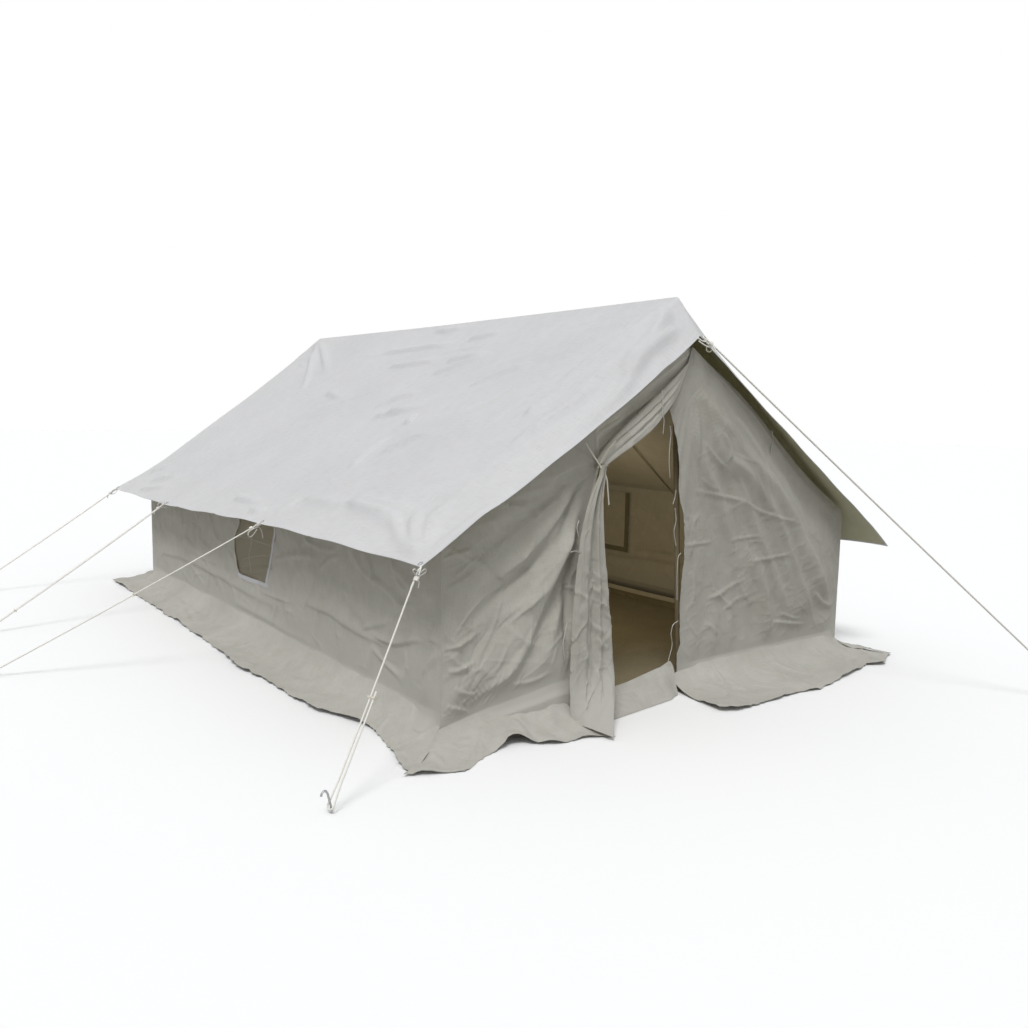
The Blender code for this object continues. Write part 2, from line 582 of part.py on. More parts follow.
def build_sill_and_floor():
    """The sill strip slopes from the doorway to the ground. The groundsheet is a shallow tray."""
    def sill(u, v):
        left = -1.16 + 0.09 * v
        x = left + u * (-0.065 - 0.02 * v - left)
        top = 0.07 + 0.145 * u
        z = MUD_THICKNESS + (1 - v) * (top - MUD_THICKNESS) + 0.01 * math.sin(math.pi * v) * math.sin(9 * x)
        return Vector((x, -3.026 - v * (0.25 - 0.12 * u), z))
    cloth("door_sill", spread(0, 1, 14), spread(0, 1, 7), sill, (0, 0, -1), thickness=MUD_THICKNESS)

    x, y, t = ROOM_HALF_WIDTH - 0.015, ROOM_HALF_LENGTH - 0.015, FLOOR_THICKNESS
    outer = [(-x, -y, FLOOR_RIM), (x, -y, FLOOR_RIM), (x, y, FLOOR_RIM), (-x, y, FLOOR_RIM),
             (-x, -y, 0), (x, -y, 0), (x, y, 0), (-x, y, 0)]
    inner = [(px - math.copysign(t, px), py - math.copysign(t, py), max(pz, t)) for px, py, pz in outer]
    faces = [[4, 7, 6, 5], [0, 4, 5, 1], [1, 5, 6, 2], [2, 6, 7, 3], [3, 7, 4, 0]]
    sheet_solid("groundsheet", outer, inner, faces, GROUND_CLOTH)


# Guy ropes, each one rope: down to its peg, round it and back, with a runner that tightens it
def guy_axes(eyelet, peg):
    start = Vector(eyelet)
    away = Vector((peg[0] - start.x, peg[1] - start.y, 0)).normalized()
    hold = Vector((*peg, PEG_HOLD[1])) + away * PEG_HOLD[0]
    down = (hold - start).normalized()
    side = down.cross(Vector((0, 0, 1))).normalized()
    return start, hold, down, side


def guy_centre(start, hold, t):
    return start.lerp(hold, t) - Vector((0, 0, 4 * ROPE_SAG * t * (1 - t)))


def build_guy(name, eyelet, peg, runner_at, doubled):
    start, hold, down, side = guy_axes(eyelet, peg)
    length = (hold - start).length
    widen_from = 1 - 0.12 / length

    def strand(t, sign):
        gap = blend_between(t, [(0, 0.008), (0.1, STRAND_HALF_GAP), (widen_from, STRAND_HALF_GAP),
                                (1, PEG_TURN_RADIUS)])
        return guy_centre(start, hold, t) + side * sign * gap
    descent = [0, 0.06, 0.15, 0.3, 0.45, 0.6, 0.72, 0.84, widen_from, (1 + widen_from) / 2, 1]
    end = 0.0 if doubled else runner_at - 0.035 / length
    points = [strand(t, 1) for t in descent]
    for k in range(1, 6):
        angle = math.pi * k / 6
        points.append(hold + (side * math.cos(angle) + down * math.sin(angle)) * PEG_TURN_RADIUS)
    points += [strand(t, -1) for t in reversed(descent) if t > end + 0.02] + [strand(end, -1)]
    wire(f"guy_rope_{name}", points, ROPE_RADIUS, ROPE_FIBRE)
    along = guy_centre(start, hold, runner_at + 0.01) - guy_centre(start, hold, runner_at - 0.01)
    build_runner(name, guy_centre(start, hold, runner_at), along.normalized(), side)
    build_peg(name, peg, down)


def build_runner(name, centre, down, side):
    """A plate with two holes for the rope, square to it, made of two ringed squares side by side."""
    width, height, depth = RUNNER_SIZE
    third = down.cross(side)
    outline = []
    faces = []
    for sign in (-1, 1):
        middle = sign * STRAND_HALF_GAP
        for k in range(8):
            angle = math.pi * k / 4
            cx, cy = math.cos(angle), math.sin(angle)
            scale = 1 / max(abs(cx), abs(cy))
            reach = STRAND_HALF_GAP if cx * sign < -0.1 else width / 2 - STRAND_HALF_GAP
            outline.append((middle + cx * scale * reach, cy * scale * height / 2))
        for k in range(8):
            angle = math.pi * k / 4
            outline.append((middle + RUNNER_HOLE * math.cos(angle), RUNNER_HOLE * math.sin(angle)))
    welded = []
    index = []
    for point in outline:
        match = next((i for i, p in enumerate(welded) if math.dist(p, point) < 1e-6), None)
        if match is None:
            match = len(welded)
            welded.append(point)
        index.append(match)
    for block in (0, 16):
        for k in range(8):
            after = (k + 1) % 8
            rim = (block + k, block + after, block + 8 + after, block + 8 + k)
            faces.append([index[i] for i in rim])
    near = [centre + side * a + third * b - down * depth / 2 for a, b in welded]
    far = [centre + side * a + third * b + down * depth / 2 for a, b in welded]
    sheet_solid(f"guy_runner_{name}", near, far, faces, NYLON, origin=centre)


def build_peg(name, peg, down):
    """A steel rod peg, cut at the ground, leaning away from the tent, with its hook turned outward."""
    away = Vector((down.x, down.y, 0)).normalized()
    foot = Vector((*peg, 0))
    path = [(0.0, 0.0), (0.0, 0.018), (0.006, 0.045), (0.016, 0.080), (0.026, 0.112), (0.036, 0.126),
            (0.050, 0.130), (0.062, 0.122), (0.067, 0.108)]
    wire(f"peg_{name}", [foot + away * out + Vector((0, 0, up)) for out, up in path], 0.006, STEEL)


build_frame()
build_fly()
build_inner_roof()
build_side_wall("side_wall_left", -1)
build_side_wall("side_wall_right", 1)
build_window_flap("window_flap_left", -1, WINDOW_FLAP_OPEN)
build_window_flap("window_flap_right", 1, 0.0)
build_front_left()
build_front_right()
build_tied_flap()
build_back()
build_mud_flaps()
build_sill_and_floor()
for guy, (eyelet, peg, runner_at, doubled) in GUYS.items():
    build_guy(guy, eyelet, peg, runner_at, doubled)
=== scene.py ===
import math

import bmesh
import bpy
import numpy as np
from mathutils import Matrix, Vector


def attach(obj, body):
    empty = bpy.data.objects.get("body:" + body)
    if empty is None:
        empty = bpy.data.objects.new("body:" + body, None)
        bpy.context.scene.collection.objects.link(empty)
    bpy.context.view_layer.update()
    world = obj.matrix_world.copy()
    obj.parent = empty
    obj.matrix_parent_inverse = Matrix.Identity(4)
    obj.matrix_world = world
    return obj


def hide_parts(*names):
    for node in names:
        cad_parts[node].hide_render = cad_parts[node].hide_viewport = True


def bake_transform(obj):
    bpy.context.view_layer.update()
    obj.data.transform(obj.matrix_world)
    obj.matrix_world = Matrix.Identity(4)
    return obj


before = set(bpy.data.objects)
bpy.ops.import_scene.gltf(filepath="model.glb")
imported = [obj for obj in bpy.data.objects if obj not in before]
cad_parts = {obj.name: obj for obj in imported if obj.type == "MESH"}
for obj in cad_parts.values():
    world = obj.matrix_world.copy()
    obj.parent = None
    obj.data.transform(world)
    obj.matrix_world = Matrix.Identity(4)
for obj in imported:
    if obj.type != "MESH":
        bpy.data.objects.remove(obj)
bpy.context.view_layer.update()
print("frame loaded:", len(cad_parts), "nodes")


def addObject(name, data):
    obj = bpy.data.objects.new(name, data)
    bpy.context.scene.collection.objects.link(obj)
    return obj


# The camera stands where the photograph was taken from, 8.8 m from the middle of the tent
camera = {
    "place": (-4.804, -7.404, 2.009),
    "yaw": -37.059,       # degrees, turned to the right of +Y
    "pitch": -6.61,       # looking a little down
    "roll": 1.043,
    "lens": 31.68,        # mm
    "sensor": 36,         # mm wide
    "picture": 1028,      # px, both ways
}


def cameraAxes():
    yaw, pitch, roll = (math.radians(camera[k]) for k in ("yaw", "pitch", "roll"))
    ahead = Vector((-math.sin(yaw) * math.cos(pitch), math.cos(yaw) * math.cos(pitch), math.sin(pitch)))
    level = Vector((math.cos(yaw), math.sin(yaw), 0))
    above = level.cross(ahead)
    right = level * math.cos(roll) + above * math.sin(roll)
    up = above * math.cos(roll) - level * math.sin(roll)
    return right, up, ahead


def addCamera():
    right, up, ahead = cameraAxes()
    lensData = bpy.data.cameras.new("camera")
    lensData.lens = camera["lens"]
    lensData.sensor_width = camera["sensor"]
    lensData.clip_end = 200
    eye = addObject("camera", lensData)
    eye.matrix_world = Matrix.Translation(camera["place"]) @ Matrix((right, up, -ahead)).transposed().to_4x4()
    bpy.context.scene.camera = eye


def pixelScale():
    # px for one unit of slope away from the middle of the picture, and the middle
    return camera["lens"] / camera["sensor"] * camera["picture"], camera["picture"] / 2


def toPicture(points):
    # where points of the tent fall in the photograph, in px
    right, up, ahead = (np.array(a) for a in cameraAxes())
    seen = np.asarray(points) - np.array(camera["place"])
    focal, half = pixelScale()
    depth = seen @ ahead
    return np.stack([half + focal * (seen @ right) / depth, half - focal * (seen @ up) / depth], axis=-1)


def onPlane(pixel, axis, value):
    # the point that the photograph shows at a pixel, on the plane where x, y or z (0, 1, 2) has that value
    right, up, ahead = cameraAxes()
    focal, half = pixelScale()
    ray = ahead + right * ((pixel[0] - half) / focal) - up * ((pixel[1] - half) / focal)
    start = Vector(camera["place"])
    return start + ray * ((value - start[axis]) / ray[axis])


addCamera()


# Materials
def toLinear(hexCode):
    parts = [int(hexCode[i:i + 2], 16) / 255 for i in (1, 3, 5)]
    return tuple(c / 12.92 if c <= 0.04045 else ((c + 0.055) / 1.055) ** 2.4 for c in parts) + (1.0,)


def addNode(tree, kind, values=None, links=None, **settings):
    node = tree.nodes.new("ShaderNode" + kind)
    for key, value in settings.items():
        setattr(node, key, value)
    for key, value in (values or {}).items():
        node.inputs[key].default_value = value
    for key, source in (links or {}).items():
        tree.links.new(source, node.inputs[key])
    return node


def newMaterial(name):
    material = bpy.data.materials.new(name)
    material.use_nodes = True
    material.node_tree.nodes.clear()
    return material, material.node_tree


def twoTone(tree, factor, dark, light, low=0.3, high=0.7):
    # colour that runs between two hex tones as a pattern rises
    ramp = addNode(tree, "ValToRGB", links={0: factor})
    ramp.color_ramp.elements[0].position = low
    ramp.color_ramp.elements[0].color = toLinear(dark)
    ramp.color_ramp.elements[1].position = high
    ramp.color_ramp.elements[1].color = toLinear(light)
    return ramp.outputs["Color"]


def ridges(tree, vector, scale, detail, sharp):
    # thin raised lines where a noise crosses its middle, as creases in cloth
    noise = addNode(tree, "TexNoise", {"Scale": scale, "Detail": detail, "Distortion": 0.4}, {"Vector": vector})
    swing = addNode(tree, "Math", {1: 2.0, 2: -1.0}, {0: noise.outputs[0]}, operation="MULTIPLY_ADD")
    size = addNode(tree, "Math", {}, {0: swing.outputs[0]}, operation="ABSOLUTE")
    upside = addNode(tree, "Math", {0: 1.0}, {1: size.outputs[0]}, operation="SUBTRACT")
    return addNode(tree, "Math", {1: sharp}, {0: upside.outputs[0]}, operation="POWER").outputs[0]


def surface(tree, colour, height, strength, distance, values, links=None):
    # the shader of a solid material, with its pattern as a fine relief of that distance in m
    bump = addNode(tree, "Bump", {"Strength": strength, "Distance": distance}, {"Height": height}).outputs[0]
    shader = addNode(tree, "BsdfPrincipled", values, {"Base Color": colour, "Normal": bump, **(links or {})})
    addNode(tree, "OutputMaterial", links={"Surface": shader.outputs[0]})


# what the cloths have in common: raw cotton is matt, lets a little warm light through and is faintly clouded
commonCloth = {"roughness": 0.92, "through": "#a88c55", "throughShare": 0.14, "creaseStrength": 0.14,
               "cloud": "#f0efec"}


def wovenCloth(look):
    # Every cloth here but the floor is woven cotton. The base is matt with a faint sheen from loose fibres, the tone
    # wanders a little from bale to bale, thick threads run both ways, and light comes through from behind.
    look = {**commonCloth, **look}
    material, tree = newMaterial(look["name"])
    place = addNode(tree, "TexCoord").outputs["Object"]
    cut = addNode(tree, "Attribute", attribute_name="cut").outputs["Vector"]
    across = addNode(tree, "SeparateXYZ", links={0: cut})
    broad = addNode(tree, "TexNoise", {"Scale": 1.3, "Detail": 3.0}, {"Vector": place}).outputs[0]
    tone = twoTone(tree, broad, look["dark"], look["light"])
    cloudy = addNode(tree, "TexNoise", {"Scale": 9.0, "Detail": 6.0, "Roughness": 0.65}, {"Vector": place}).outputs[0]
    grain = twoTone(tree, cloudy, look["cloud"], "#ffffff", 0.25, 0.75)
    # slubs: thick places in the yarn, really 1 mm by 30 mm, drawn 5 mm by 120 mm so that they show
    streaks = []
    for stretch in ((200.0, 8.0, 1.0), (8.0, 200.0, 1.0)):
        run = addNode(tree, "Mapping", {"Scale": stretch}, {"Vector": cut}).outputs[0]
        streaks.append(addNode(tree, "TexNoise", {"Scale": 1.0, "Detail": 2.0}, {"Vector": run}).outputs[0])
    slub = addNode(tree, "Math", {}, {0: streaks[0], 1: streaks[1]}, operation="ADD").outputs[0]
    slubTone = twoTone(tree, slub, "#f4f3f0", "#ffffff", 0.75, 1.0)
    colour = tone
    for shade in (grain, slubTone):
        colour = addNode(tree, "Mix", {0: 1.0}, {6: colour, 7: shade}, data_type="RGBA",
                         blend_type="MULTIPLY").outputs[2]
    veils = []   # of another colour, each with its share
    if "soil" in look:
        # splashed earth near the ground, thinning upward
        height = addNode(tree, "SeparateXYZ", links={0: place}).outputs["Z"]
        splash = addNode(tree, "TexNoise", {"Scale": 6.0, "Detail": 8.0, "Roughness": 0.7}, {"Vector": place})
        reach = addNode(tree, "MapRange", {1: 0.0, 2: look["soilHeight"], 3: 1.15, 4: 0.45}, {0: height}).outputs[0]
        amount = addNode(tree, "Math", {}, {0: reach, 1: splash.outputs[0]}, operation="MULTIPLY").outputs[0]
        spread = addNode(tree, "MapRange", {1: 0.42, 2: 0.85, 3: 0.0, 4: look["soilAmount"]}, {0: amount})
        veils.append(("soil", spread.outputs[0]))
    if "foot" in look:
        # towards the ground the tone runs into the foot colour, close to that of the mud flaps; on the darker
        # door-side canvas this lifts its painted shade near the ground
        height = addNode(tree, "SeparateXYZ", links={0: place}).outputs["Z"]
        footShare = addNode(tree, "MapRange", {1: 0.06, 2: 0.6, 3: 1.0, 4: 0.0}, {0: height},
                         interpolation_type="SMOOTHSTEP")
        veils.append(("foot", footShare.outputs[0]))
    for veil, share in veils:
        colour = addNode(tree, "Mix", {7: toLinear(look[veil])}, {0: share, 6: colour}, data_type="RGBA").outputs[2]
    # creases too fine for the mesh, 5 to 20 mm wide
    large = ridges(tree, place, 3.2, 2.0, 7.0)
    small = ridges(tree, place, 9.0, 3.0, 5.0)
    both = addNode(tree, "Math", {1: 0.35}, {0: small, 2: large}, operation="MULTIPLY_ADD").outputs[0]
    creased = addNode(tree, "Bump", {"Strength": look["creaseStrength"], "Distance": 0.006}, {"Height": both})
    # plain weave, really 0.7 mm between threads, drawn at 3 mm
    turns = 2 * math.pi / 0.003
    waves = []
    for axis in (0, 1):
        swing = addNode(tree, "Math", {1: turns}, {0: across.outputs[axis]}, operation="MULTIPLY").outputs[0]
        waves.append(addNode(tree, "Math", {}, {0: swing}, operation="SINE").outputs[0])
    weave = addNode(tree, "Math", {}, {0: waves[0], 1: waves[1]}, operation="MULTIPLY").outputs[0]
    weaveSlub = addNode(tree, "Math", {1: 0.3}, {0: weave, 2: slub}, operation="MULTIPLY_ADD").outputs[0]
    normal = addNode(tree, "Bump", {"Strength": 0.35, "Distance": 0.0008},
                     {"Height": weaveSlub, "Normal": creased.outputs[0]}).outputs[0]
    front = addNode(tree, "BsdfPrincipled", {"Roughness": look["roughness"], "Sheen Weight": 0.12,
                    "Sheen Roughness": 0.6, "Specular IOR Level": 0.3}, {"Base Color": colour, "Normal": normal})
    behind = addNode(tree, "BsdfTranslucent", {"Color": toLinear(look["through"])}, {"Normal": normal})
    mixed = addNode(tree, "MixShader", {0: look["throughShare"]}, {1: front.outputs[0], 2: behind.outputs[0]})
    addNode(tree, "OutputMaterial", links={"Surface": mixed.outputs[0]})
    return material


finishes = {name: wovenCloth(look) for name, look in {
    # proofed cotton canvas, dense and pale grey, a little smoother than raw cloth
    "fly": {"name": "proofed_cotton_canvas_woven", "dark": "#dcdcde", "light": "#e1e1e3", "roughness": 0.82,
            "through": "#d4cca0", "throughShare": 0.10, "creaseStrength": 0.05, "cloud": "#f9f9f8"},
    # the inner face of that canvas: its olive tint is painted light, the warm cast of daylight through the cloth, and
    # its tone is set pale to lift the shade under the fly
    "flyInside": {"name": "cotton_canvas_inner_face_painted_light", "dark": "#d5d4c0", "light": "#dcdbc9",
                  "through": "#d8d5b8", "throughShare": 0.40, "creaseStrength": 0.05},
    # undyed cotton canvas, looser, greyer and quite matt, running at the foot into a tone near that of the mud flaps
    "wall": {"name": "undyed_cotton_canvas_woven", "dark": "#c8c6bc", "light": "#d0cec5", "foot": "#c7c5bd"},
    # the same canvas, darker, for the door flaps and the gable beside them: painted shade for the fly's shadow there,
    # lifting to a lighter tone towards the ground
    "shadedPanel": {"name": "undyed_cotton_canvas_painted_shade", "dark": "#bab8ae", "light": "#c2c0b7", "foot": "#c4c2ba"},
    # the mud flaps are of stouter canvas, a shade darker and cooler than the walls, with a little earth on them
    "apron": {"name": "stout_cotton_canvas_woven", "dark": "#bfbdb5", "light": "#c9c7c0", "throughShare": 0.05,
              "creaseStrength": 0.2, "soil": "#a8a195", "soilHeight": 0.04, "soilAmount": 0.2},
    # the same canvas folded double at hems and bindings, bleached a little on the fold; on the header under the fly
    # its paler tone is painted light, lifting the fly's shade
    "hem": {"name": "folded_canvas_hem_and_painted_light", "dark": "#d2cfc2", "light": "#dddad0", "roughness": 0.9,
            "throughShare": 0.04, "creaseStrength": 0.3},
    # bleached cotton binding round the windows, pale with a cast of violet
    "binding": {"name": "cotton_binding_tape_woven", "dark": "#c9c8cc", "light": "#d3d2d6", "roughness": 0.9,
                "throughShare": 0.04, "creaseStrength": 0.2},
    # darker olive band: round the free edges of the window flaps it is painted shadow, the shadow line under the
    # flap's hem, and over the roof's seam it is a twill tape
    "band": {"name": "olive_band_and_painted_shadow", "dark": "#77745c", "light": "#838068", "through": "#6d6340",
             "throughShare": 0.04, "creaseStrength": 0.3},
    # cotton twill tape, soft and cream
    "tape": {"name": "cotton_twill_tape_woven", "dark": "#cfcaba", "light": "#dcd8ca", "roughness": 0.9,
             "throughShare": 0.05, "creaseStrength": 0.2},
    # woven polyethylene tape cloth, coated, for the floor: browner and with a dull gloss
    "floor": {"name": "coated_ground_cloth_woven", "dark": "#857b62", "light": "#958b70", "roughness": 0.62,
              "through": "#3d3524", "throughShare": 0.02, "creaseStrength": 0.6},
}.items()}


def galvanisedSteel():
    # steel tube, hot dip galvanised: grey spangle, dull, a few darker rubbed patches
    material, tree = newMaterial("steel_tube_galvanised")
    place = addNode(tree, "TexCoord").outputs["Object"]
    spangle = addNode(tree, "TexVoronoi", {"Scale": 90.0}, {"Vector": place}).outputs["Color"]
    grey = addNode(tree, "RGBToBW", links={0: spangle}).outputs[0]
    colour = twoTone(tree, grey, "#9a9c9d", "#b4b6b7", 0.1, 0.9)
    rubbed = addNode(tree, "TexNoise", {"Scale": 7.0, "Detail": 5.0}, {"Vector": place}).outputs[0]
    rough = addNode(tree, "MapRange", {1: 0.35, 2: 0.7, 3: 0.34, 4: 0.58}, {0: rubbed}).outputs[0]
    surface(tree, colour, grey, 0.15, 0.0006, {"Metallic": 1.0}, {"Roughness": rough})
    return material


def brownShadeSteel():
    # steel tube under a brown paint that was brushed on and has dulled: little gloss, faint streaks; the brown is
    # matched to the warm shade inside the tent, so it is partly painted shade
    material, tree = newMaterial("steel_tube_brown_painted_shade")
    place = addNode(tree, "TexCoord").outputs["Object"]
    run = addNode(tree, "Mapping", {"Scale": (90.0, 90.0, 6.0)}, {"Vector": place}).outputs[0]
    streak = addNode(tree, "TexNoise", {"Scale": 1.0, "Detail": 4.0}, {"Vector": run}).outputs[0]
    colour = twoTone(tree, streak, "#7b7057", "#877c62")
    surface(tree, colour, streak, 0.2, 0.0004, {"Roughness": 0.62, "Specular IOR Level": 0.3})
    return material


def laidRope():
    # cotton rope, laid of three strands: cream and fuzzy, with painted shade darkening the grooves between the
    # strands
    material, tree = newMaterial("cotton_rope_laid")
    place = addNode(tree, "TexCoord").outputs["Object"]
    groove = addNode(tree, "Attribute", attribute_name="cut").outputs["Vector"]
    depth = addNode(tree, "SeparateXYZ", links={0: groove}).outputs["Z"]
    # painted shade: the colour darkens where the strand lobes dip into the grooves
    colour = twoTone(tree, depth, "#eeeadd", "#fcfaf3", 0.0, 0.6)
    fibre = addNode(tree, "TexNoise", {"Scale": 420.0, "Detail": 4.0}, {"Vector": place}).outputs[0]
    surface(tree, colour, fibre, 0.4, 0.0006, {"Roughness": 0.88, "Sheen Weight": 0.2})
    return material


def mouldedNylon():
    # nylon, injection moulded: waxy off-white with a soft gloss and a fine mould grain
    material, tree = newMaterial("nylon_moulded")
    place = addNode(tree, "TexCoord").outputs["Object"]
    grain = addNode(tree, "TexNoise", {"Scale": 900.0, "Detail": 2.0}, {"Vector": place}).outputs[0]
    cloud = addNode(tree, "TexNoise", {"Scale": 60.0, "Detail": 3.0}, {"Vector": place}).outputs[0]
    colour = twoTone(tree, cloud, "#d3cdba", "#dfdacb")
    surface(tree, colour, grain, 0.2, 0.0002, {"Roughness": 0.42, "IOR": 1.53, "Subsurface Weight": 0.1})
    return material


def knittedNet():
    # polyester netting against insects, knitted with holes of 1.3 mm, drawn at 4 mm: a grey veil over what is behind
    material, tree = newMaterial("polyester_netting_knitted")
    cut = addNode(tree, "Attribute", attribute_name="cut").outputs["Vector"]
    across = addNode(tree, "SeparateXYZ", links={0: cut})
    turns = math.pi / 0.004
    threads = []
    for axis in (0, 1):
        swing = addNode(tree, "Math", {1: turns}, {0: across.outputs[axis]}, operation="MULTIPLY").outputs[0]
        wave = addNode(tree, "Math", {}, {0: swing}, operation="SINE").outputs[0]
        size = addNode(tree, "Math", {}, {0: wave}, operation="ABSOLUTE").outputs[0]
        threads.append(addNode(tree, "Math", {1: 0.40}, {0: size}, operation="LESS_THAN").outputs[0])
    thread = addNode(tree, "Math", {}, {0: threads[0], 1: threads[1]}, operation="MAXIMUM").outputs[0]
    fibre = addNode(tree, "BsdfPrincipled", {"Base Color": toLinear("#aca691"), "Roughness": 0.7})
    hole = addNode(tree, "BsdfTransparent")
    mixed = addNode(tree, "MixShader", {}, {0: thread, 1: hole.outputs[0], 2: fibre.outputs[0]})
    addNode(tree, "OutputMaterial", links={"Surface": mixed.outputs[0]})
    return material


finishes |= {"net": knittedNet(), "steel": galvanisedSteel(), "painted": brownShadeSteel(), "rope": laidRope(),
             "nylon": mouldedNylon()}
print("materials made")


# Mesh tools
def makeMesh(name, points, faces, finish, cut, sharp=60, second=None):
    # cut holds the place of each point on the flat cloth or rope, which the weave follows; second is another finish
    # and the faces that have it
    mesh = bpy.data.meshes.new(name)
    mesh.from_pydata([tuple(p) for p in points], [], [tuple(int(i) for i in f) for f in faces])
    layer = mesh.attributes.new("cut", "FLOAT_VECTOR", "POINT")
    layer.data.foreach_set("vector", np.asarray(cut, dtype=np.float32).ravel())
    mesh.shade_smooth()
    mesh.set_sharp_from_angle(angle=math.radians(sharp))
    mesh.materials.append(finishes[finish])
    if second:
        mesh.materials.append(finishes[second[0]])
        mesh.polygons.foreach_set("material_index", second[1].astype(np.int32))
    return addObject(name, mesh)


def turnOutward(obj):
    mesh = bmesh.new()
    mesh.from_mesh(obj.data)
    bmesh.ops.recalc_face_normals(mesh, faces=mesh.faces)
    mesh.to_mesh(obj.data)
    mesh.free()


def dress(node, finish):
    for place in node.material_slots:
        place.material = finishes[finish]


def settle(obj, body="tent", replaces=()):
    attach(obj, body)
    if replaces:
        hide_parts(*replaces)
    return obj


def unit(vectors):
    return vectors / np.maximum(np.linalg.norm(vectors, axis=-1, keepdims=True), 1e-9)


def gridNormals(points):
    return unit(np.cross(np.gradient(points, axis=1), np.gradient(points, axis=0)))


def facingUp(points):
    return points[:, ::-1] if gridNormals(points)[..., 2].mean() < 0 else points


def around(count):
    # even angles once round a circle
    return np.linspace(0, 2 * math.pi, count, endpoint=False)


def walked(path):
    # metres from the start of a line to each of its points
    return np.concatenate([[0], np.cumsum(np.linalg.norm(np.diff(path, axis=0), axis=1))])


def runs(points):
    # metres along the cloth from its first column and first row
    across = np.linalg.norm(np.diff(points, axis=1), axis=-1)
    along = np.linalg.norm(np.diff(points, axis=0), axis=-1)
    return np.pad(np.cumsum(across, axis=1), ((0, 0), (1, 0))), np.pad(np.cumsum(along, axis=0), ((1, 0), (0, 0)))


def clothMesh(name, points, finish, thickness=0.0016, keep=None, inside=None, patch=None):
    # one sheet from a grid of points: its outer face, its inner face and a rim along every open edge; inside is
    # the finish of the inner face, patch a finish and the cells of the grid that have it on both faces
    count = points.shape[0] * points.shape[1]
    a, b = runs(points)
    inner = points - gridNormals(points) * thickness
    index = np.arange(count).reshape(points.shape[:2])
    quads = np.stack([index[:-1, :-1], index[:-1, 1:], index[1:, 1:], index[1:, :-1]], axis=-1)
    quads = quads[keep] if keep is not None else quads.reshape(-1, 4)
    edges = np.concatenate([quads[:, [k, (k + 1) % 4]] for k in range(4)])
    keys = np.sort(edges, axis=1)
    _, first, uses = np.unique(keys[:, 0] * count + keys[:, 1], return_index=True, return_counts=True)
    start, end = edges[first[uses == 1]].T   # of the edges that only one cell has
    rim = np.stack([end, start, start + count, end + count], axis=-1)
    faces = np.concatenate([quads, quads[:, [0, 3, 2, 1]] + count, rim])   # both sides split along one diagonal
    every = np.concatenate([points.reshape(-1, 3), inner.reshape(-1, 3)])
    cut = np.stack([a, b, np.zeros_like(a)], axis=-1).reshape(-1, 3)
    cut = np.concatenate([cut, cut])
    used = np.unique(faces)
    order = np.zeros(2 * count, dtype=int)
    order[used] = np.arange(len(used))
    second = None
    if inside:
        second = (inside, np.arange(len(faces)) // len(quads) == 1)
    if patch:
        cells = patch[1].ravel()
        second = (patch[0], np.concatenate([cells, cells, np.zeros(len(rim), dtype=bool)]))
    return makeMesh(name, every[used], order[faces], finish, cut[used], second=second)


def tubeMesh(name, points, finish, cut, sharp, closed=False):
    # a tube from rings of points, its ends capped where it isn't closed
    rings, sides = points.shape[:2]
    index = np.arange(rings * sides).reshape(rings, sides)
    after, beside = np.roll(index, -1, axis=0), np.roll(index, -1, axis=1)
    quads = np.stack([index, beside, np.roll(after, -1, axis=1), after], axis=-1)
    faces = [tuple(face) for face in (quads if closed else quads[:-1]).reshape(-1, 4)]
    if not closed:
        faces += [tuple(reversed(range(sides))), tuple(index[-1])]
    return makeMesh(name, points.reshape(-1, 3), faces, finish, cut.reshape(-1, 3), sharp)


def sweep(name, path, outline, finish, facing, closed=False):
    # carry a closed outline of (side, up) offsets along a path; facing is the way up
    path, outline, up = (np.asarray(values, dtype=float) for values in (path, outline, facing))
    ahead = unit(np.roll(path, -1, axis=0) - np.roll(path, 1, axis=0) if closed else np.gradient(path, axis=0))
    up = unit(up - ahead * np.sum(up * ahead, axis=1, keepdims=True))
    side = np.cross(ahead, up)
    points = path[:, None] + side[:, None] * outline[:, :1] + up[:, None] * outline[:, 1:]
    cut = np.ones(points.shape)
    cut[..., 0] = outline[:, 0]
    cut[..., 1] = walked(path)[:, None]
    tube = tubeMesh(name, points, finish, cut, 50, closed)
    turnOutward(tube)
    return tube


def curveThrough(points, step):
    # a smooth line through points, with an even step
    points = np.asarray(points, dtype=float)
    ends = np.concatenate([[2 * points[0] - points[1]], points, [2 * points[-1] - points[-2]]])
    pieces = []
    for p0, p1, p2, p3 in zip(ends, ends[1:], ends[2:], ends[3:]):
        t = np.linspace(0, 1, 12, endpoint=False)[:, None]
        pieces.append(0.5 * (2 * p1 + (p2 - p0) * t + (2 * p0 - 5 * p1 + 4 * p2 - p3) * t ** 2
                             + (3 * p1 - p0 - 3 * p2 + p3) * t ** 3))
    line = np.concatenate(pieces + [points[-1:]])
    far = walked(line)
    stations = np.linspace(0, far[-1], max(int(round(far[-1] / step)), 2) + 1)
    return np.stack([np.interp(stations, far, line[:, k]) for k in range(3)], axis=-1)


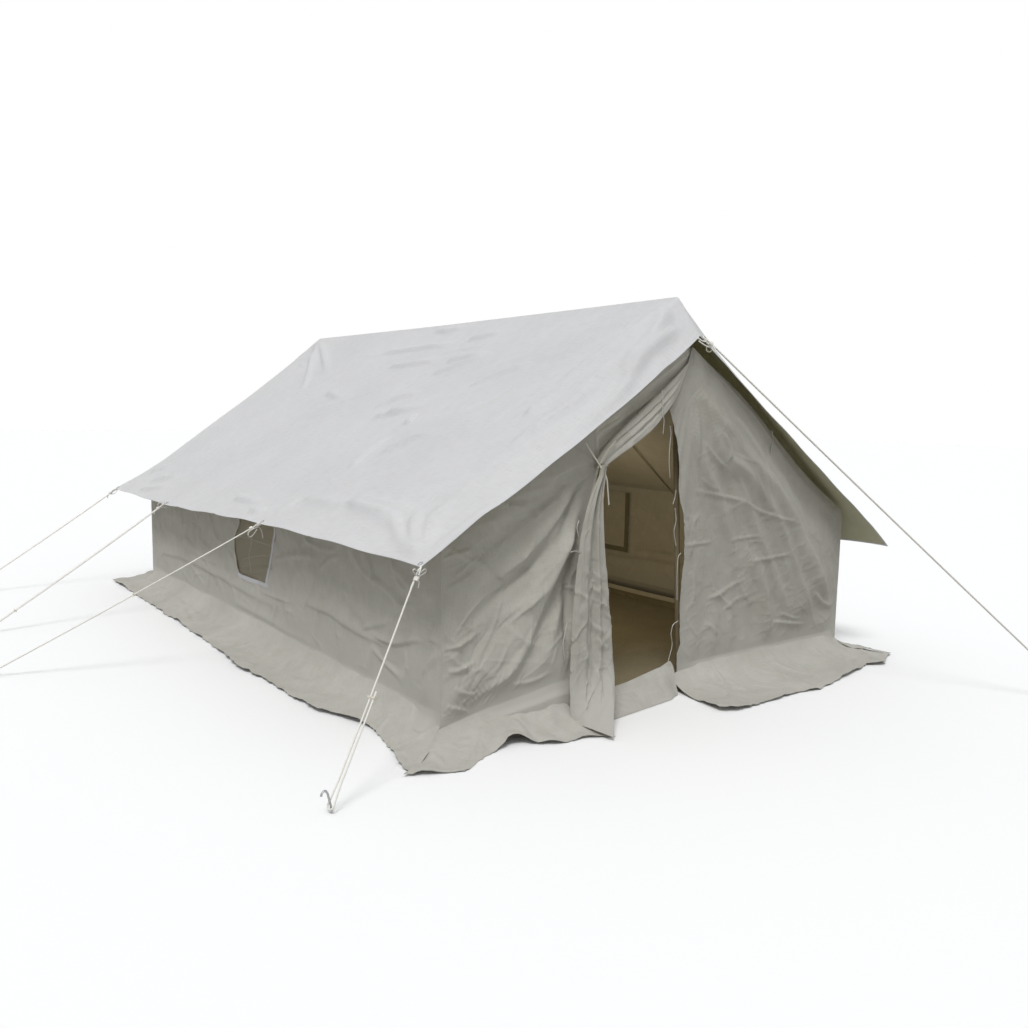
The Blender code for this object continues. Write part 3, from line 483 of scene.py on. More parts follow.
def ropeTube(name, points, radius, lay=0.030, step=0.004, sides=12):
    # a rope of three strands: the section has three lobes and turns once in each lay
    path = curveThrough(points, step)
    ahead = unit(np.gradient(path, axis=0))
    up = np.zeros_like(path)
    start = np.array([0, 0, 1.0]) if abs(ahead[0][2]) < 0.9 else np.array([0, 1.0, 0])
    up[0] = unit(start - ahead[0] * (start @ ahead[0]))
    for i in range(1, len(path)):
        up[i] = unit(up[i - 1] - ahead[i] * (up[i - 1] @ ahead[i]))
    side, far = np.cross(ahead, up), walked(path)
    angle = around(sides)[None, :]
    turn = (2 * math.pi * far / lay)[:, None]
    lobes = np.abs(np.cos(3 * angle / 2))
    size = radius * (0.80 + 0.22 * lobes)
    rings = (path[:, None] + side[:, None] * (size * np.cos(angle + turn))[..., None]
             + up[:, None] * (size * np.sin(angle + turn))[..., None])
    cut = np.zeros(rings.shape)
    cut[..., 0] = angle * radius
    cut[..., 1] = far[:, None]
    # the lobes also drive the painted shade in the rope's grooves
    cut[..., 2] = lobes
    return tubeMesh(name, rings, "rope", cut, 75), path


def thinCord(name, points, radius, body="tent", lay=0.014, step=0.006):
    return settle(ropeTube(name, points, radius, lay, step, 9)[0], body)


# Guy ropes, on the routes that part.py gives them
guys = {
    "back_left": {"eyelet": (-2.312, 3.270, 1.037), "peg": (-3.75, 3.355), "runner": 0.86, "doubled": True},
    "side_back": {"eyelet": (-2.312, 1.450, 1.043), "peg": (-3.80, 1.430), "runner": 0.86, "doubled": True},
    "side_front": {"eyelet": (-2.312, -0.960, 1.126), "peg": (-3.95, -0.010), "runner": 0.47, "doubled": False},
    "front_left": {"eyelet": (-2.310, -3.270, 1.144), "peg": (-2.92, -3.450), "runner": 0.555, "doubled": False},
    "ridge_front": {"eyelet": (0.085, -3.100, 2.522), "peg": (2.20, -4.840), "runner": 0.93, "doubled": True},
}
guyRope = {
    "radius": 0.0055,        # 11 mm rope
    "halfGap": 0.0125,       # between the strand and the middle line
    "pegTurn": 0.020,        # radius of the turn round the peg
    "hold": (0.005, 0.040),  # outward and up, where the rope sits on the leaning peg
    "sag": 0.010,
    "endRadius": 0.0048,     # the end of the rope, drawn tight in knots and loops
}


def guyLine(guy):
    # the eyelet, the place on the peg, the way down the rope and the way to its side
    start = Vector(guy["eyelet"])
    away = Vector((guy["peg"][0] - start.x, guy["peg"][1] - start.y, 0)).normalized()
    hold = Vector((*guy["peg"], guyRope["hold"][1])) + away * guyRope["hold"][0]
    down = (hold - start).normalized()
    return start, hold, down, down.cross(Vector((0, 0, 1))).normalized()


def guyPoint(guy, t, sign):
    # a point of one of the rope's two strands, t from 0 at the eyelet to 1 at the peg
    start, hold, _, side = guyLine(guy)
    widen = 1 - 0.12 / (hold - start).length
    gap = np.interp(t, [0, 0.1, widen, 1], [0.008, guyRope["halfGap"], guyRope["halfGap"], guyRope["pegTurn"]])
    return start.lerp(hold, t) - Vector((0, 0, 4 * guyRope["sag"] * t * (1 - t))) + side * (sign * float(gap))


def buildGuy(name, guy):
    start, hold, down, side = guyLine(guy)
    length = (hold - start).length
    widen = 1 - 0.12 / length
    descent = [0, 0.06, 0.15, 0.3, 0.45, 0.6, 0.72, 0.84, widen, (1 + widen) / 2, 1]
    end = 0.0 if guy["doubled"] else guy["runner"] - 0.035 / length
    points = [guyPoint(guy, t, 1) for t in descent]
    turn = guyRope["pegTurn"]
    for k in range(1, 6):
        angle = math.pi * k / 6
        points.append(hold + side * turn * math.cos(angle) + down * turn * math.sin(angle))
    points += [guyPoint(guy, t, -1) for t in reversed(descent) if t > end + 0.02] + [guyPoint(guy, end, -1)]
    rope, path = ropeTube(f"guy_rope_laid_{name}", points, guyRope["radius"])
    settle(rope, replaces=[f"guy_rope_{name}"])
    return rope, path


def stopperKnot(name, centre, along, side, size):
    # turns of the rope's own end wound round it, tight as a pulled knot
    turns = 3
    along, side = Vector(along).normalized(), Vector(side).normalized()
    third = along.cross(side)
    radius = 0.0125 * size
    points = []
    for k in range(turns * 10 + 1):
        angle = 2 * math.pi * k / 10
        rise = (k / (turns * 10) - 0.5) * turns * 0.0085 * size
        points.append(Vector(centre) + along * rise + side * radius * math.cos(angle)
                      + third * radius * 0.9 * math.sin(angle))
    tail = points[-1] + along * 0.02 + side * 0.012 - Vector((0, 0, 0.022))
    points += [tail, tail + Vector((0, 0, -0.02)) + side * 0.004]
    return ropeTube(name, points, guyRope["endRadius"])[0]


def finishGuy(name, guy, rope, path):
    # the loop through the eyelet and the knot below it, and the finishes of the runner and the peg
    start, _, down, side = guyLine(guy)
    third = down.cross(side)
    knot = stopperKnot(f"guy_knot_{name}", start + down * 0.055, down, side, 1.0 if guy["doubled"] else 0.9)
    out = 0.011   # half the width of the loop
    ring = [start + side * 0.008 + down * 0.03, start + side * out + down * 0.004 + third * 0.006,
            start + side * 0.006 - down * 0.016 + third * 0.008, start - side * 0.004 - down * 0.018 - third * 0.003,
            start - side * out + down * 0.002 - third * 0.007, start - side * 0.008 + down * 0.035]
    loop = ropeTube(f"guy_loop_{name}", ring, guyRope["endRadius"])[0]
    pieces = [settle(knot), settle(loop)]
    for kind, slot in (("guy_runner", "nylon"), ("peg", "steel")):
        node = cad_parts[f"{kind}_{name}"]
        dress(node, slot)
        pieces.append(node)


for name, guy in guys.items():
    finishGuy(name, guy, *buildGuy(name, guy))
# the poles take the brown, partly painted shade that matches the tent's inside
for name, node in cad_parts.items():
    if name.startswith(("upright_", "ridge_pole_", "wall_pole_")):
        dress(node, "steel" if "spigot" in name else "painted")   # the ends that rub stay bare
print("guy ropes laid:", len(guys))


# Cloth relief: fields of height in metres over a and b, the metres along the cloth
def softNoise(a, b, size, seed, stretch=1.0, turn=0.0):
    # smooth bumps from -1 to 1, about size across, longer along the turned direction
    random = np.random.default_rng(seed)
    lattice = random.uniform(-1, 1, (61, 61))
    x = (a * math.cos(turn) + b * math.sin(turn)) / (size * stretch) + 30.37
    y = (b * math.cos(turn) - a * math.sin(turn)) / size + 17.71
    x0, y0 = np.floor(x).astype(int), np.floor(y).astype(int)
    fx, fy = x - x0, y - y0
    fx, fy = (f * f * f * (f * (f * 6 - 15) + 10) for f in (fx, fy))
    corner = [[lattice[(y0 + j) % 61, (x0 + i) % 61] for i in (0, 1)] for j in (0, 1)]
    low = corner[0][0] * (1 - fx) + corner[0][1] * fx
    high = corner[1][0] * (1 - fx) + corner[1][1] * fx
    return low * (1 - fy) + high * fy


def edgeNoise(run, size, seed):
    # the same along a line
    return softNoise(run, run * 0, size, seed)


def crumple(a, b, size, seed, stretch=1.0, turn=0.0):
    # a net of soft creases, 0 to 1, where a wandering noise crosses zero
    wander = 0.35 * size * softNoise(a, b, 1.7 * size, seed + 50)
    return np.exp(-(softNoise(a + wander, b - wander, size, seed, stretch, turn) / 0.24) ** 2)


def smooth(value, low, high):
    t = np.clip((value - low) / (high - low), 0, 1)
    return t * t * (3 - 2 * t)


def foldProfile(off, before, after):
    # a raised line, with a slope of its own on each side
    return np.where(off < 0, np.exp(-(off / before) ** 2), np.exp(-(off / after) ** 2))


def addCrease(field, a, b, start, end, width, height, bend=0.0):
    # a short crease from start to end, fading out at both ends
    start, end = np.array(start, dtype=float), np.array(end, dtype=float)
    length = max(np.linalg.norm(end - start), 1e-6)
    ahead = (end - start) / length
    along = (a - start[0]) * ahead[0] + (b - start[1]) * ahead[1]
    off = (b - start[1]) * ahead[0] - (a - start[0]) * ahead[1]
    share = along / length
    off = off - bend * length * 4 * share * (1 - share)
    field += height * smooth(share, -0.02, 0.3) * smooth(1 - share, -0.02, 0.4) * foldProfile(off, width, 0.6 * width)


def addFold(field, a, b, line, before, after, height, fades=(0.2, 0.35)):
    # a long fold along a line of points, fading out over a share of its length at each end
    path = curveThrough([(p[0], p[1], 0) for p in line], 0.03)[:, :2]
    ahead = unit(np.gradient(path, axis=0))
    share = np.linspace(0, 1, len(path))
    reach = 3 * max(before, after)
    near = ((a > path[:, 0].min() - reach) & (a < path[:, 0].max() + reach)
            & (b > path[:, 1].min() - reach) & (b < path[:, 1].max() + reach))
    pa, pb = a[near], b[near]
    best = np.argmin((pa[:, None] - path[:, 0]) ** 2 + (pb[:, None] - path[:, 1]) ** 2, axis=1)
    offA, offB = pa - path[best, 0], pb - path[best, 1]
    off = offB * ahead[best, 0] - offA * ahead[best, 1]
    past = offA * ahead[best, 0] + offB * ahead[best, 1]
    ends = np.exp(-(np.where((best == 0) | (best == len(path) - 1), past, 0) / max(before, after)) ** 2)
    fade = smooth(share[best], 0, fades[0]) * smooth(1 - share[best], 0, fades[1]) * ends
    field[near] += height * fade * foldProfile(off, before, after)


def addFolds(field, a, b, folds, place):
    # folds as a list of slopes and height in mm, then pixels of the photograph along each
    for before, after, height, *line in folds:
        addFold(field, a, b, [place(pixel) for pixel in line], before / 1000, after / 1000, height / 1000)


def scatterCreases(field, a, b, seed, count, lengths, width, height, direction, spread):
    # many small creases; direction is an angle, or a function of place that gives one
    random = np.random.default_rng(seed)
    flatA, flatB = a.ravel(), b.ravel()
    extra = np.zeros_like(field)
    for _ in range(count):
        pick = random.integers(0, flatA.size)
        middle = np.array([flatA[pick], flatB[pick]])
        angle = direction(*middle) if callable(direction) else direction
        angle += random.normal(0, spread)
        half = 0.5 * random.uniform(*lengths)
        step = np.array([math.cos(angle), math.sin(angle)]) * half
        reach = half + 4 * width
        near = (np.abs(a - middle[0]) < reach) & (np.abs(b - middle[1]) < reach)
        rows, columns = np.where(near.any(axis=1))[0], np.where(near.any(axis=0))[0]
        if len(rows) == 0:
            continue
        window = (slice(rows[0], rows[-1] + 1), slice(columns[0], columns[-1] + 1))
        patch = np.zeros_like(a[window])
        addCrease(patch, a[window], b[window], middle - step, middle + step, width * random.uniform(0.7, 1.4),
                  height * random.uniform(0.4, 1.0) * random.choice([1, 1, -0.6]), random.uniform(-0.08, 0.08))
        extra[window] += patch
    field += extra


def fan(a, b, hub, count, phase=0.0, sharp=1.0, wander=0.0):
    # folds that spread from a hub, 0 to 1
    angle = np.arctan2(b - hub[1], a - hub[0])
    distance = np.hypot(a - hub[0], b - hub[1])
    if wander:
        angle = angle + wander * np.sin(distance * 3.1 + 5 * angle)
    return (0.5 + 0.5 * np.cos(count * angle + phase)) ** sharp * np.minimum(distance / 0.5, 1)


def hemStrip(name, points, edge, width, finish, body="tent"):
    # cloth folded over an edge of a sheet; edge is "left", "right", "low" or "high" in the grid
    lift, thickness = 0.0012, 0.0016
    last, second = {"left": (np.s_[:, 0], np.s_[:, 1]), "right": (np.s_[:, -1], np.s_[:, -2]),
                    "low": (np.s_[0], np.s_[1]), "high": (np.s_[-1], np.s_[-2])}[edge]
    rim, up = points[last], gridNormals(points)[last]
    inward = unit(points[second] - rim)
    pucker = 1 + 0.35 * np.sin(np.arange(len(rim)) * 1.9)[:, None]
    top, bottom = up * lift * pucker, -up * (thickness + lift * pucker)
    rings = np.stack([rim + inward * width + top * 0.6, rim + inward * width * 0.5 + top, rim + top,
                      rim - inward * lift - up * thickness * 0.5, rim + bottom,
                      rim + inward * width + bottom * 0.8], axis=1)
    cut = np.zeros(rings.shape)
    cut[..., 0] = np.array([width, width / 2, 0, 0, 0, width])
    cut[..., 1] = walked(rim)[:, None]
    strip = tubeMesh(name, rings, finish, cut, 50)
    turnOutward(strip)
    return settle(strip, body)


def tapeStrip(name, points, width, facing, finish="tape"):
    half, skin = width / 2, 0.0006
    outline = [(-half, -skin), (half, -skin), (half, skin), (-half, skin)]
    return settle(sweep(name, curveThrough(points, 0.008), outline, finish, facing))


def pixelTape(name, pixels, depth, width):
    # a tape along pixels of the photograph, on the upright plane at that y
    return tapeStrip(name, [onPlane(pixel, 1, depth) for pixel in pixels], width, (0.3, -1.0, 0.1))


def pixelCord(name, pixels, depth, radius, body="tent"):
    # a thin tie cord along pixels of the photograph
    return thinCord(name, [onPlane(pixel, 1, depth) for pixel in pixels], radius, body)


def grommet(name, centre, facing, radius=0.013):
    # a ring of steel rolled over the edge of a hole in the cloth
    facing = Vector(facing).normalized()
    side = facing.orthogonal().normalized()
    third = facing.cross(side)
    path = [tuple(Vector(centre) + (side * math.cos(a) + third * math.sin(a)) * radius) for a in around(28)]
    outline = [(-0.0045, -0.0016), (0.0045, -0.0016), (0.0045, 0.0010), (0.0, 0.0026), (-0.0045, 0.0010)]
    return settle(sweep(name, path, outline, "steel", tuple(facing), closed=True))


# Outer fly
flyShape = {
    "ridgeX": 0.05, "ridgeHeight": 2.825, "ridgeSag": 0.012, "eaveX": 2.30,
    "leftEave": 1.10, "leftRise": 0.055, "rightBendX": 2.06, "rightBendHeight": 1.255,
    "rightHemDrop": 0.115, "rightEave": 0.91, "slopeSag": 0.03,
    "frontKink": -2.86, "frontApex": -3.08, "backKink": 3.04, "backApex": 3.12, "cornerY": 3.26,
    "hoodDrop": 0.285, "columns": (126, 56), "rows": 270, "hem": 0.018,
    "slope": 2.88, "halfLength": 3.27,   # along the cloth, from the ridge and from the middle
}
# folds that the photograph shows on the left slope: the slopes before and after the line and the height in mm,
# then pixels of the photograph along it
flyFolds = [
    (44, 28, 13, (380, 353), (403, 350), (433, 346), (459, 344)),
    (44, 28, 13, (433, 331), (456, 330), (473, 323)),
    (44, 28, 13, (469, 340), (490, 335), (506, 330)), (44, 28, 13, (386, 367), (416, 364), (443, 360)),
    (44, 28, 12, (371, 409), (400, 399), (426, 392)), (44, 28, 13, (371, 417), (403, 411), (433, 403)),
    (44, 28, 12, (386, 415), (416, 404), (441, 396)), (44, 28, 13, (429, 376), (466, 363), (494, 350)),
    (44, 28, 12, (446, 363), (486, 352)), (44, 28, 12, (466, 388), (509, 371), (539, 361)),
    (44, 28, 13, (524, 416), (559, 393)),
    (44, 28, 12, (406, 424), (416, 412)), (44, 28, 12, (327, 392), (340, 397)),
    (80, 45, 26, (671, 306), (651, 338), (629, 361), (616, 381)),
    (65, 40, 18, (671, 301), (623, 339), (580, 367), (548, 392)),
    (44, 28, 14, (684, 322), (660, 343), (634, 371), (604, 405)),
    (44, 28, 12, (673, 299), (600, 336), (545, 362)),
    (44, 28, 13, (640, 372), (590, 420), (560, 447)), (44, 28, 13, (600, 380), (560, 410), (500, 455)),
    (44, 28, 14, (320, 340), (324, 360), (327, 374)), (44, 28, 14, (313, 352), (305, 383), (290, 400)),
    (44, 28, 13, (318, 342), (312, 366)), (44, 28, 12, (348, 469), (370, 450), (394, 433)),
    (44, 28, 13, (381, 454), (410, 441), (440, 431)),
    (60, 48, 9, (302, 498), (330, 503), (352, 509)), (60, 48, 9, (345, 506), (380, 516), (411, 526)),
    (44, 28, 13, (343, 503), (375, 510), (406, 518)), (44, 28, 13, (352, 498), (390, 505), (415, 512)),
    (44, 28, 12, (150, 474), (173, 465)), (44, 28, 12, (150, 483), (182, 474)),
    (44, 28, 13, (139, 491), (170, 485)),
    (44, 28, 13, (235, 497), (260, 504)), (44, 28, 13, (250, 511), (263, 513)),
    (44, 28, 6, (272, 517), (286, 508), (299, 496)),
    (44, 28, 12, (418, 560), (400, 535), (392, 512)), (44, 28, 12, (424, 558), (434, 520), (455, 500)),
    (44, 28, 13, (421, 560), (415, 530), (418, 505)), (44, 28, 13, (428, 556), (470, 525), (505, 500)),
]


def flySurface(u, v):
    # the fly without folds: u is -1 at the left eave, 0 at the ridge and 1 at the right eave, v is -1 in front
    shape = flyShape
    s = np.abs(u)
    front = v < 0
    kink = np.where(front, shape["frontKink"], shape["backKink"])
    apex = np.where(front, shape["frontApex"], shape["backApex"])
    corner = np.where(front, -shape["cornerY"], shape["cornerY"])
    droop = np.clip((np.abs(v) - 0.9) / 0.1, 0, 1)
    y = kink * np.minimum(np.abs(v) / 0.9, 1) + (apex + (corner - apex) * s ** 0.7 - kink) * droop
    ridge = shape["ridgeHeight"] - shape["ridgeSag"] * np.cos(math.pi * y / (2 * shape["cornerY"]))
    eave = shape["leftEave"] - shape["leftRise"] * np.tanh(y / 1.2)
    leftX = shape["ridgeX"] - (shape["eaveX"] + shape["ridgeX"]) * s
    leftZ = ridge - (ridge - eave) * s
    reach = shape["eaveX"] - shape["ridgeX"]
    rightX = shape["ridgeX"] + reach * s
    bend = (shape["rightBendX"] - shape["ridgeX"]) / reach
    bendHeight = shape["rightBendHeight"] - shape["rightHemDrop"] * droop
    upper = ridge + (bendHeight - ridge) * s / bend
    lower = bendHeight + (shape["rightEave"] - bendHeight) * (s - bend) / (1 - bend)
    soft = smooth(s, bend - 0.03, bend + 0.03)
    rightZ = upper * (1 - soft) + lower * soft
    x = np.where(u < 0, leftX, rightX)
    z = np.where(u < 0, leftZ, rightZ) - 4 * shape["slopeSag"] * s * (1 - s) - shape["hoodDrop"] * (1 - s) * droop
    return np.stack([x, y, z], axis=-1)


def pickOn(points, a, b, pixel, allowed):
    # place on the cloth, in its own metres, of a pixel of the photograph
    seen = toPicture(points)
    distance = np.hypot(seen[..., 0] - pixel[0], seen[..., 1] - pixel[1])
    distance = np.where(allowed, distance, 1e9)
    row, column = np.unravel_index(np.argmin(distance), distance.shape)
    return a[row, column], b[row, column]


def mirrored(spot):
    # the same place on the far slope, moved a little so that the two slopes aren't alike
    return -spot[0], spot[1] * 0.93 + 0.12


def buildFly():
    shape = flyShape
    near, far = shape["columns"]
    u, v = np.meshgrid(np.concatenate([np.linspace(-1, 0, near), np.linspace(0, 1, far)[1:]]),
                       np.linspace(-1, 1, shape["rows"]))
    base = flySurface(u, v)
    normals = gridNormals(base)
    slope, half = shape["slope"], shape["halfLength"]
    a, b = -u * slope, v * half   # a is positive to the left
    s, y = np.abs(u), base[..., 1]
    field = 0.010 * softNoise(a, b, 1.2, 11) + 0.002 * softNoise(a, b, 0.45, 12, 2.5, 0.9)
    # the ropes and the pole ends draw the cloth into folds
    pulls = [((slope, -half), 14, 0.010, 0.55), ((slope, half), 14, 0.010, 0.55), ((slope, -0.97), 14, 0.009, 0.30),
             ((slope, 1.45), 14, 0.009, 0.30), ((-slope, -half), 12, 0.006, 0.5), ((-slope, half), 12, 0.006, 0.5),
             ((0.0, -2.95), 14, 0.004, 0.8), ((0.0, 3.1), 14, 0.008, 0.6)]
    for hub, count, height, reach in pulls:
        distance = np.hypot(a - hub[0], b - hub[1])
        spread = smooth(distance, 0.05, 0.3) * np.exp(-(distance / reach) ** 1.5)
        field += height * (fan(a, b, hub, count, 1.3, 1.4, 0.05) - 0.35) * spread
    leftSlope = u < 0
    folds = np.zeros_like(u)
    addFolds(folds, a, b, flyFolds, lambda pixel: pickOn(base, a, b, pixel, leftSlope))
    # the far slope is creased in the same way, but softly
    broad = [(2.2 * before, 2.2 * after, 0.4 * height, *line) for before, after, height, *line in flyFolds]
    addFolds(folds, a, b, broad, lambda pixel: mirrored(pickOn(base, a, b, pixel, leftSlope)))
    field += 2.2 * folds
    scatterCreases(field, a, b, 21, 70, (0.3, 0.9), 0.024, 0.009, lambda p, q: math.atan2(-2.9 - q, -p), 0.22)
    scatterCreases(field, a, b, 22, 30, (0.15, 0.5), 0.020, 0.004, 1.2, 0.9)
    # the free edges wave every 0.55 m and the eaves every 0.8 m, and the front hem has one small bump
    ends = smooth(np.abs(v), 0.93, 1.0)
    field += ends * 0.002 * np.sin(2 * math.pi * s * 2.9 / 0.55 + 0.8) * smooth(s, 0.05, 0.2)
    front = smooth(-v, 0.93, 1.0)
    field += front * 0.014 * np.exp(-((a - 0.47) / 0.09) ** 2)
    eaves = smooth(s, 0.94, 1.0)
    field += eaves * 0.006 * np.sin(2 * math.pi * y / 0.8)
    field *= smooth(s, 0.0, 0.04) * 0.8 + 0.2
    points = base + normals * field[..., None]
    # the inner face carries painted light: an olive tint for the light through the canvas, kept pale against the
    # shade
    fly = clothMesh("outer_fly_cloth", points, "fly", inside="flyInside")
    settle(fly, replaces=["outer_fly"])
    trims = [hemStrip(f"outer_fly_hem_{edge}", points, side, shape["hem"], "fly")
             for edge, side in (("front", "low"), ("back", "high"), ("left", "left"), ("right", "right"))]
    return points, gridNormals(points)


flyPoints, flyNormals = buildFly()


def buildPeak():
    # the rope goes round the peak of the fly, through a small ring that hangs inside the hem
    loop = [(698, 338), (703, 341), (709, 342), (712, 345), (709, 347), (703, 344), (699, 341)]
    thinCord("peak_loop", [onPlane(pixel, 1, -3.105) for pixel in loop], 0.0045, lay=0.024, step=0.004)
    middle = onPlane((709, 348), 1, -3.085)
    ring = [tuple(middle + Vector((0.026 * math.cos(a), 0.004 * math.sin(2 * a), 0.026 * math.sin(a))))
            for a in around(32)]
    outline = [(0.0042 * math.cos(a), 0.0042 * math.sin(a)) for a in around(10)]
    settle(sweep("peak_ring", ring, outline, "nylon", (0, -1, 0), closed=True))


buildPeak()
for name, guy in guys.items():
    gap = np.linalg.norm(flyPoints - np.array(guy["eyelet"]), axis=-1)
    row, column = np.unravel_index(np.argmin(gap), gap.shape)
    row, column = min(max(row, 1), flyPoints.shape[0] - 2), min(max(column, 1), flyPoints.shape[1] - 2)
    grommet(f"fly_eyelet_{name}", flyPoints[row, column] + flyNormals[row, column] * 0.001, flyNormals[row, column])
# bows and loose ends of the ropes at the eave, along pixels of the photograph
bows = {"side_front": [[(258, 527), (253, 529), (248, 533), (249, 537), (253, 535), (257, 529)],
                       [(258, 526), (261, 530), (263, 538)]],
        "front_left": [[(417, 577), (413, 571), (415, 569), (419, 573), (425, 569), (426, 572), (418, 577)],
                       [(417, 577), (419, 582), (418, 588)]],
        "side_back": [[(172, 504), (164, 502), (158, 504), (160, 507), (168, 507), (172, 504)]],
        "back_left": [[(118, 489), (113, 490), (111, 494), (115, 493), (118, 489)]]}
for name, lines in bows.items():
    for number, pixels in enumerate(lines):
        pixelCord(f"guy_bow_{name}_{number + 1}", pixels, guys[name]["eyelet"][1] - 0.012, 0.0042)
print("fly sewn")


# Inner tent
room = {"halfWidth": 2.00, "halfLength": 3.00, "wallHeight": 1.20, "ridgeHeight": 2.35, "ridgeX": 0.05,
        "poleLift": 0.12}   # how far the front pole lifts the roof's edge


def innerSlope(x):
    reach = np.where(x > room["ridgeX"], room["halfWidth"] - room["ridgeX"], room["halfWidth"] + room["ridgeX"])
    return room["ridgeHeight"] - (room["ridgeHeight"] - room["wallHeight"]) * np.abs(x - room["ridgeX"]) / reach


def frontLift(x):
    # the lift of the roof's front edge over the gable
    return room["poleLift"] * np.where(x < room["ridgeX"], smooth(x, -2.0, -0.7), 1 - smooth(x, 0.35, 1.65))


def innerTop(x):
    return innerSlope(x) + frontLift(x)


def buildRoof():
    passes = [-2.846, 0.0, 2.93]   # where the uprights go through the ridge
    xs = np.linspace(2.004, -2.004, 120)
    ys = np.linspace(-3.0, 3.0, 180)
    x, y = np.meshgrid(xs, ys)
    field = 0.012 * softNoise(x, y, 0.7, 31) + 0.004 * softNoise(x, y, 0.25, 32, 2.0)
    scatterCreases(field, x, y, 33, 90, (0.2, 0.7), 0.022, 0.004, 0.0, 0.5)
    edge = smooth(2.0 - np.abs(x), 0.0, 0.15) * smooth(3.0 - np.abs(y), 0.0, 0.15)
    lift = frontLift(x) * smooth(-y, 2.2, 3.0)
    share = np.abs(x - room["ridgeX"]) / (room["halfWidth"] - room["ridgeX"])
    z = innerSlope(x) + lift - 0.03 * np.sin(math.pi * np.clip(share, 0, 1)) * edge + (field - 0.012) * edge
    points = np.stack([x, y, z], axis=-1)
    middle = (points[1:, 1:] + points[:-1, :-1]) / 2
    keep = np.ones(middle.shape[:2], dtype=bool)
    for at in passes:
        keep &= np.hypot(middle[..., 0] - room["ridgeX"], middle[..., 1] - at) > 0.030
    roof = clothMesh("inner_roof_cloth", points, "wall", keep=keep)
    settle(roof, replaces=["inner_roof"])
    seam = []
    high, low = (np.array(pickOn(points, x, y, pixel, x > 0.2)) for pixel in ((636, 448), (674, 492)))
    for share in np.linspace(-0.7, 1.0, 12):   # a seam under the far slope, seen through the door
        spot = high + share * (low - high)
        hang = 0.026 + 0.03 * math.sin((spot[0] - room["ridgeX"]) / 0.62)
        seam.append((spot[0], spot[1], float(innerSlope(spot[0])) - hang))
    tapeStrip("inner_roof_seam", seam, 0.014, (-0.5, 0.0, -0.85), finish="band")
    for number, at in enumerate(passes):
        height = room["ridgeHeight"] - 0.012 + room["poleLift"] * float(smooth(-at, 2.2, 3.0))
        grommet(f"inner_roof_ring_{number + 1}", (room["ridgeX"], at, height), (0, 0, 1), 0.040)


window = {
    "y": (-0.42, 0.38), "z": (0.54, 1.10), "lap": 0.04, "flapX": 1.974, "open": math.radians(110), "hem": 0.034,
    "columns": (150, 46), "rows": (44, 40, 8),   # of the wall's grid: beside and in it; below, in and above it
}


def footFlare(z, lift, most):
    # how far the foot of a wall stands out behind its mud flap, whose seam is at lift above the ground
    return np.minimum(-0.6 * lift * np.log(np.minimum(z / lift, 1)), most) - 0.012 * smooth(lift - z, 0, 0.05)


def windowShift(y, z):
    # the cloth round the left window is slack, so the opening leans and bulges: metres along the wall
    back = np.interp(z, [0.40, 0.54, 0.62, 0.72, 0.85, 0.98, 1.15], [0, -0.09, -0.05, 0.01, 0.01, -0.12, -0.10])
    front = np.interp(z, [0.40, 0.55, 0.70, 0.85, 1.01, 1.15], [0, 0.13, 0.05, -0.02, -0.07, -0.03])
    near = [np.exp(-(np.abs(y - edge) / 0.22) ** 2) for edge in window["y"]]
    return near[0] * front + near[1] * back


def wallSpot(pixel):
    place = onPlane(pixel, 0, -room["halfWidth"] - 0.01)
    return place.y, place.z


# folds of the left wall: slopes above and below the line and height in mm, then pixels of the photograph
wallFolds = [
    (60, 30, 12, (152, 548), (190, 560), (228, 580), (262, 600), (297, 618)),
    (50, 25, 12, (300, 600), (330, 612), (360, 632), (400, 652)), (45, 20, 10, (166, 526), (185, 546), (235, 572)),
    (28, 14, 11, (270, 562), (290, 557), (306, 556), (322, 560)), (20, 12, 9, (318, 572), (330, 560), (342, 556)),
    (22, 12, 10, (361, 629), (389, 622), (398, 616)), (26, 12, 13, (371, 634), (394, 643), (419, 640), (437, 650)),
    (22, 12, 9, (403, 648), (407, 664), (409, 676)), (22, 10, 13, (430, 636), (438, 645), (441, 652)),
    (18, 10, 11, (440, 616), (438, 630), (440, 644)), (20, 12, 12, (438, 652), (430, 664), (424, 676)),
    (20, 12, 10, (420, 618), (430, 628), (439, 642)), (18, 10, 8, (390, 600), (402, 606), (420, 604)),
    (40, 22, 10, (228, 600), (262, 618), (297, 640), (330, 655)), (30, 16, 8, (340, 585), (350, 600), (354, 620)),
    (16, 10, 7, (256, 590), (276, 598), (300, 604)), (22, 12, 8, (176, 500), (182, 520), (178, 545)),
    (24, 12, 8, (205, 508), (214, 530), (218, 552)), (20, 10, 7, (300, 536), (318, 548), (340, 552)),
    (18, 10, 8, (392, 560), (398, 580), (410, 596)), (22, 12, 9, (362, 548), (372, 570), (378, 600)),
]


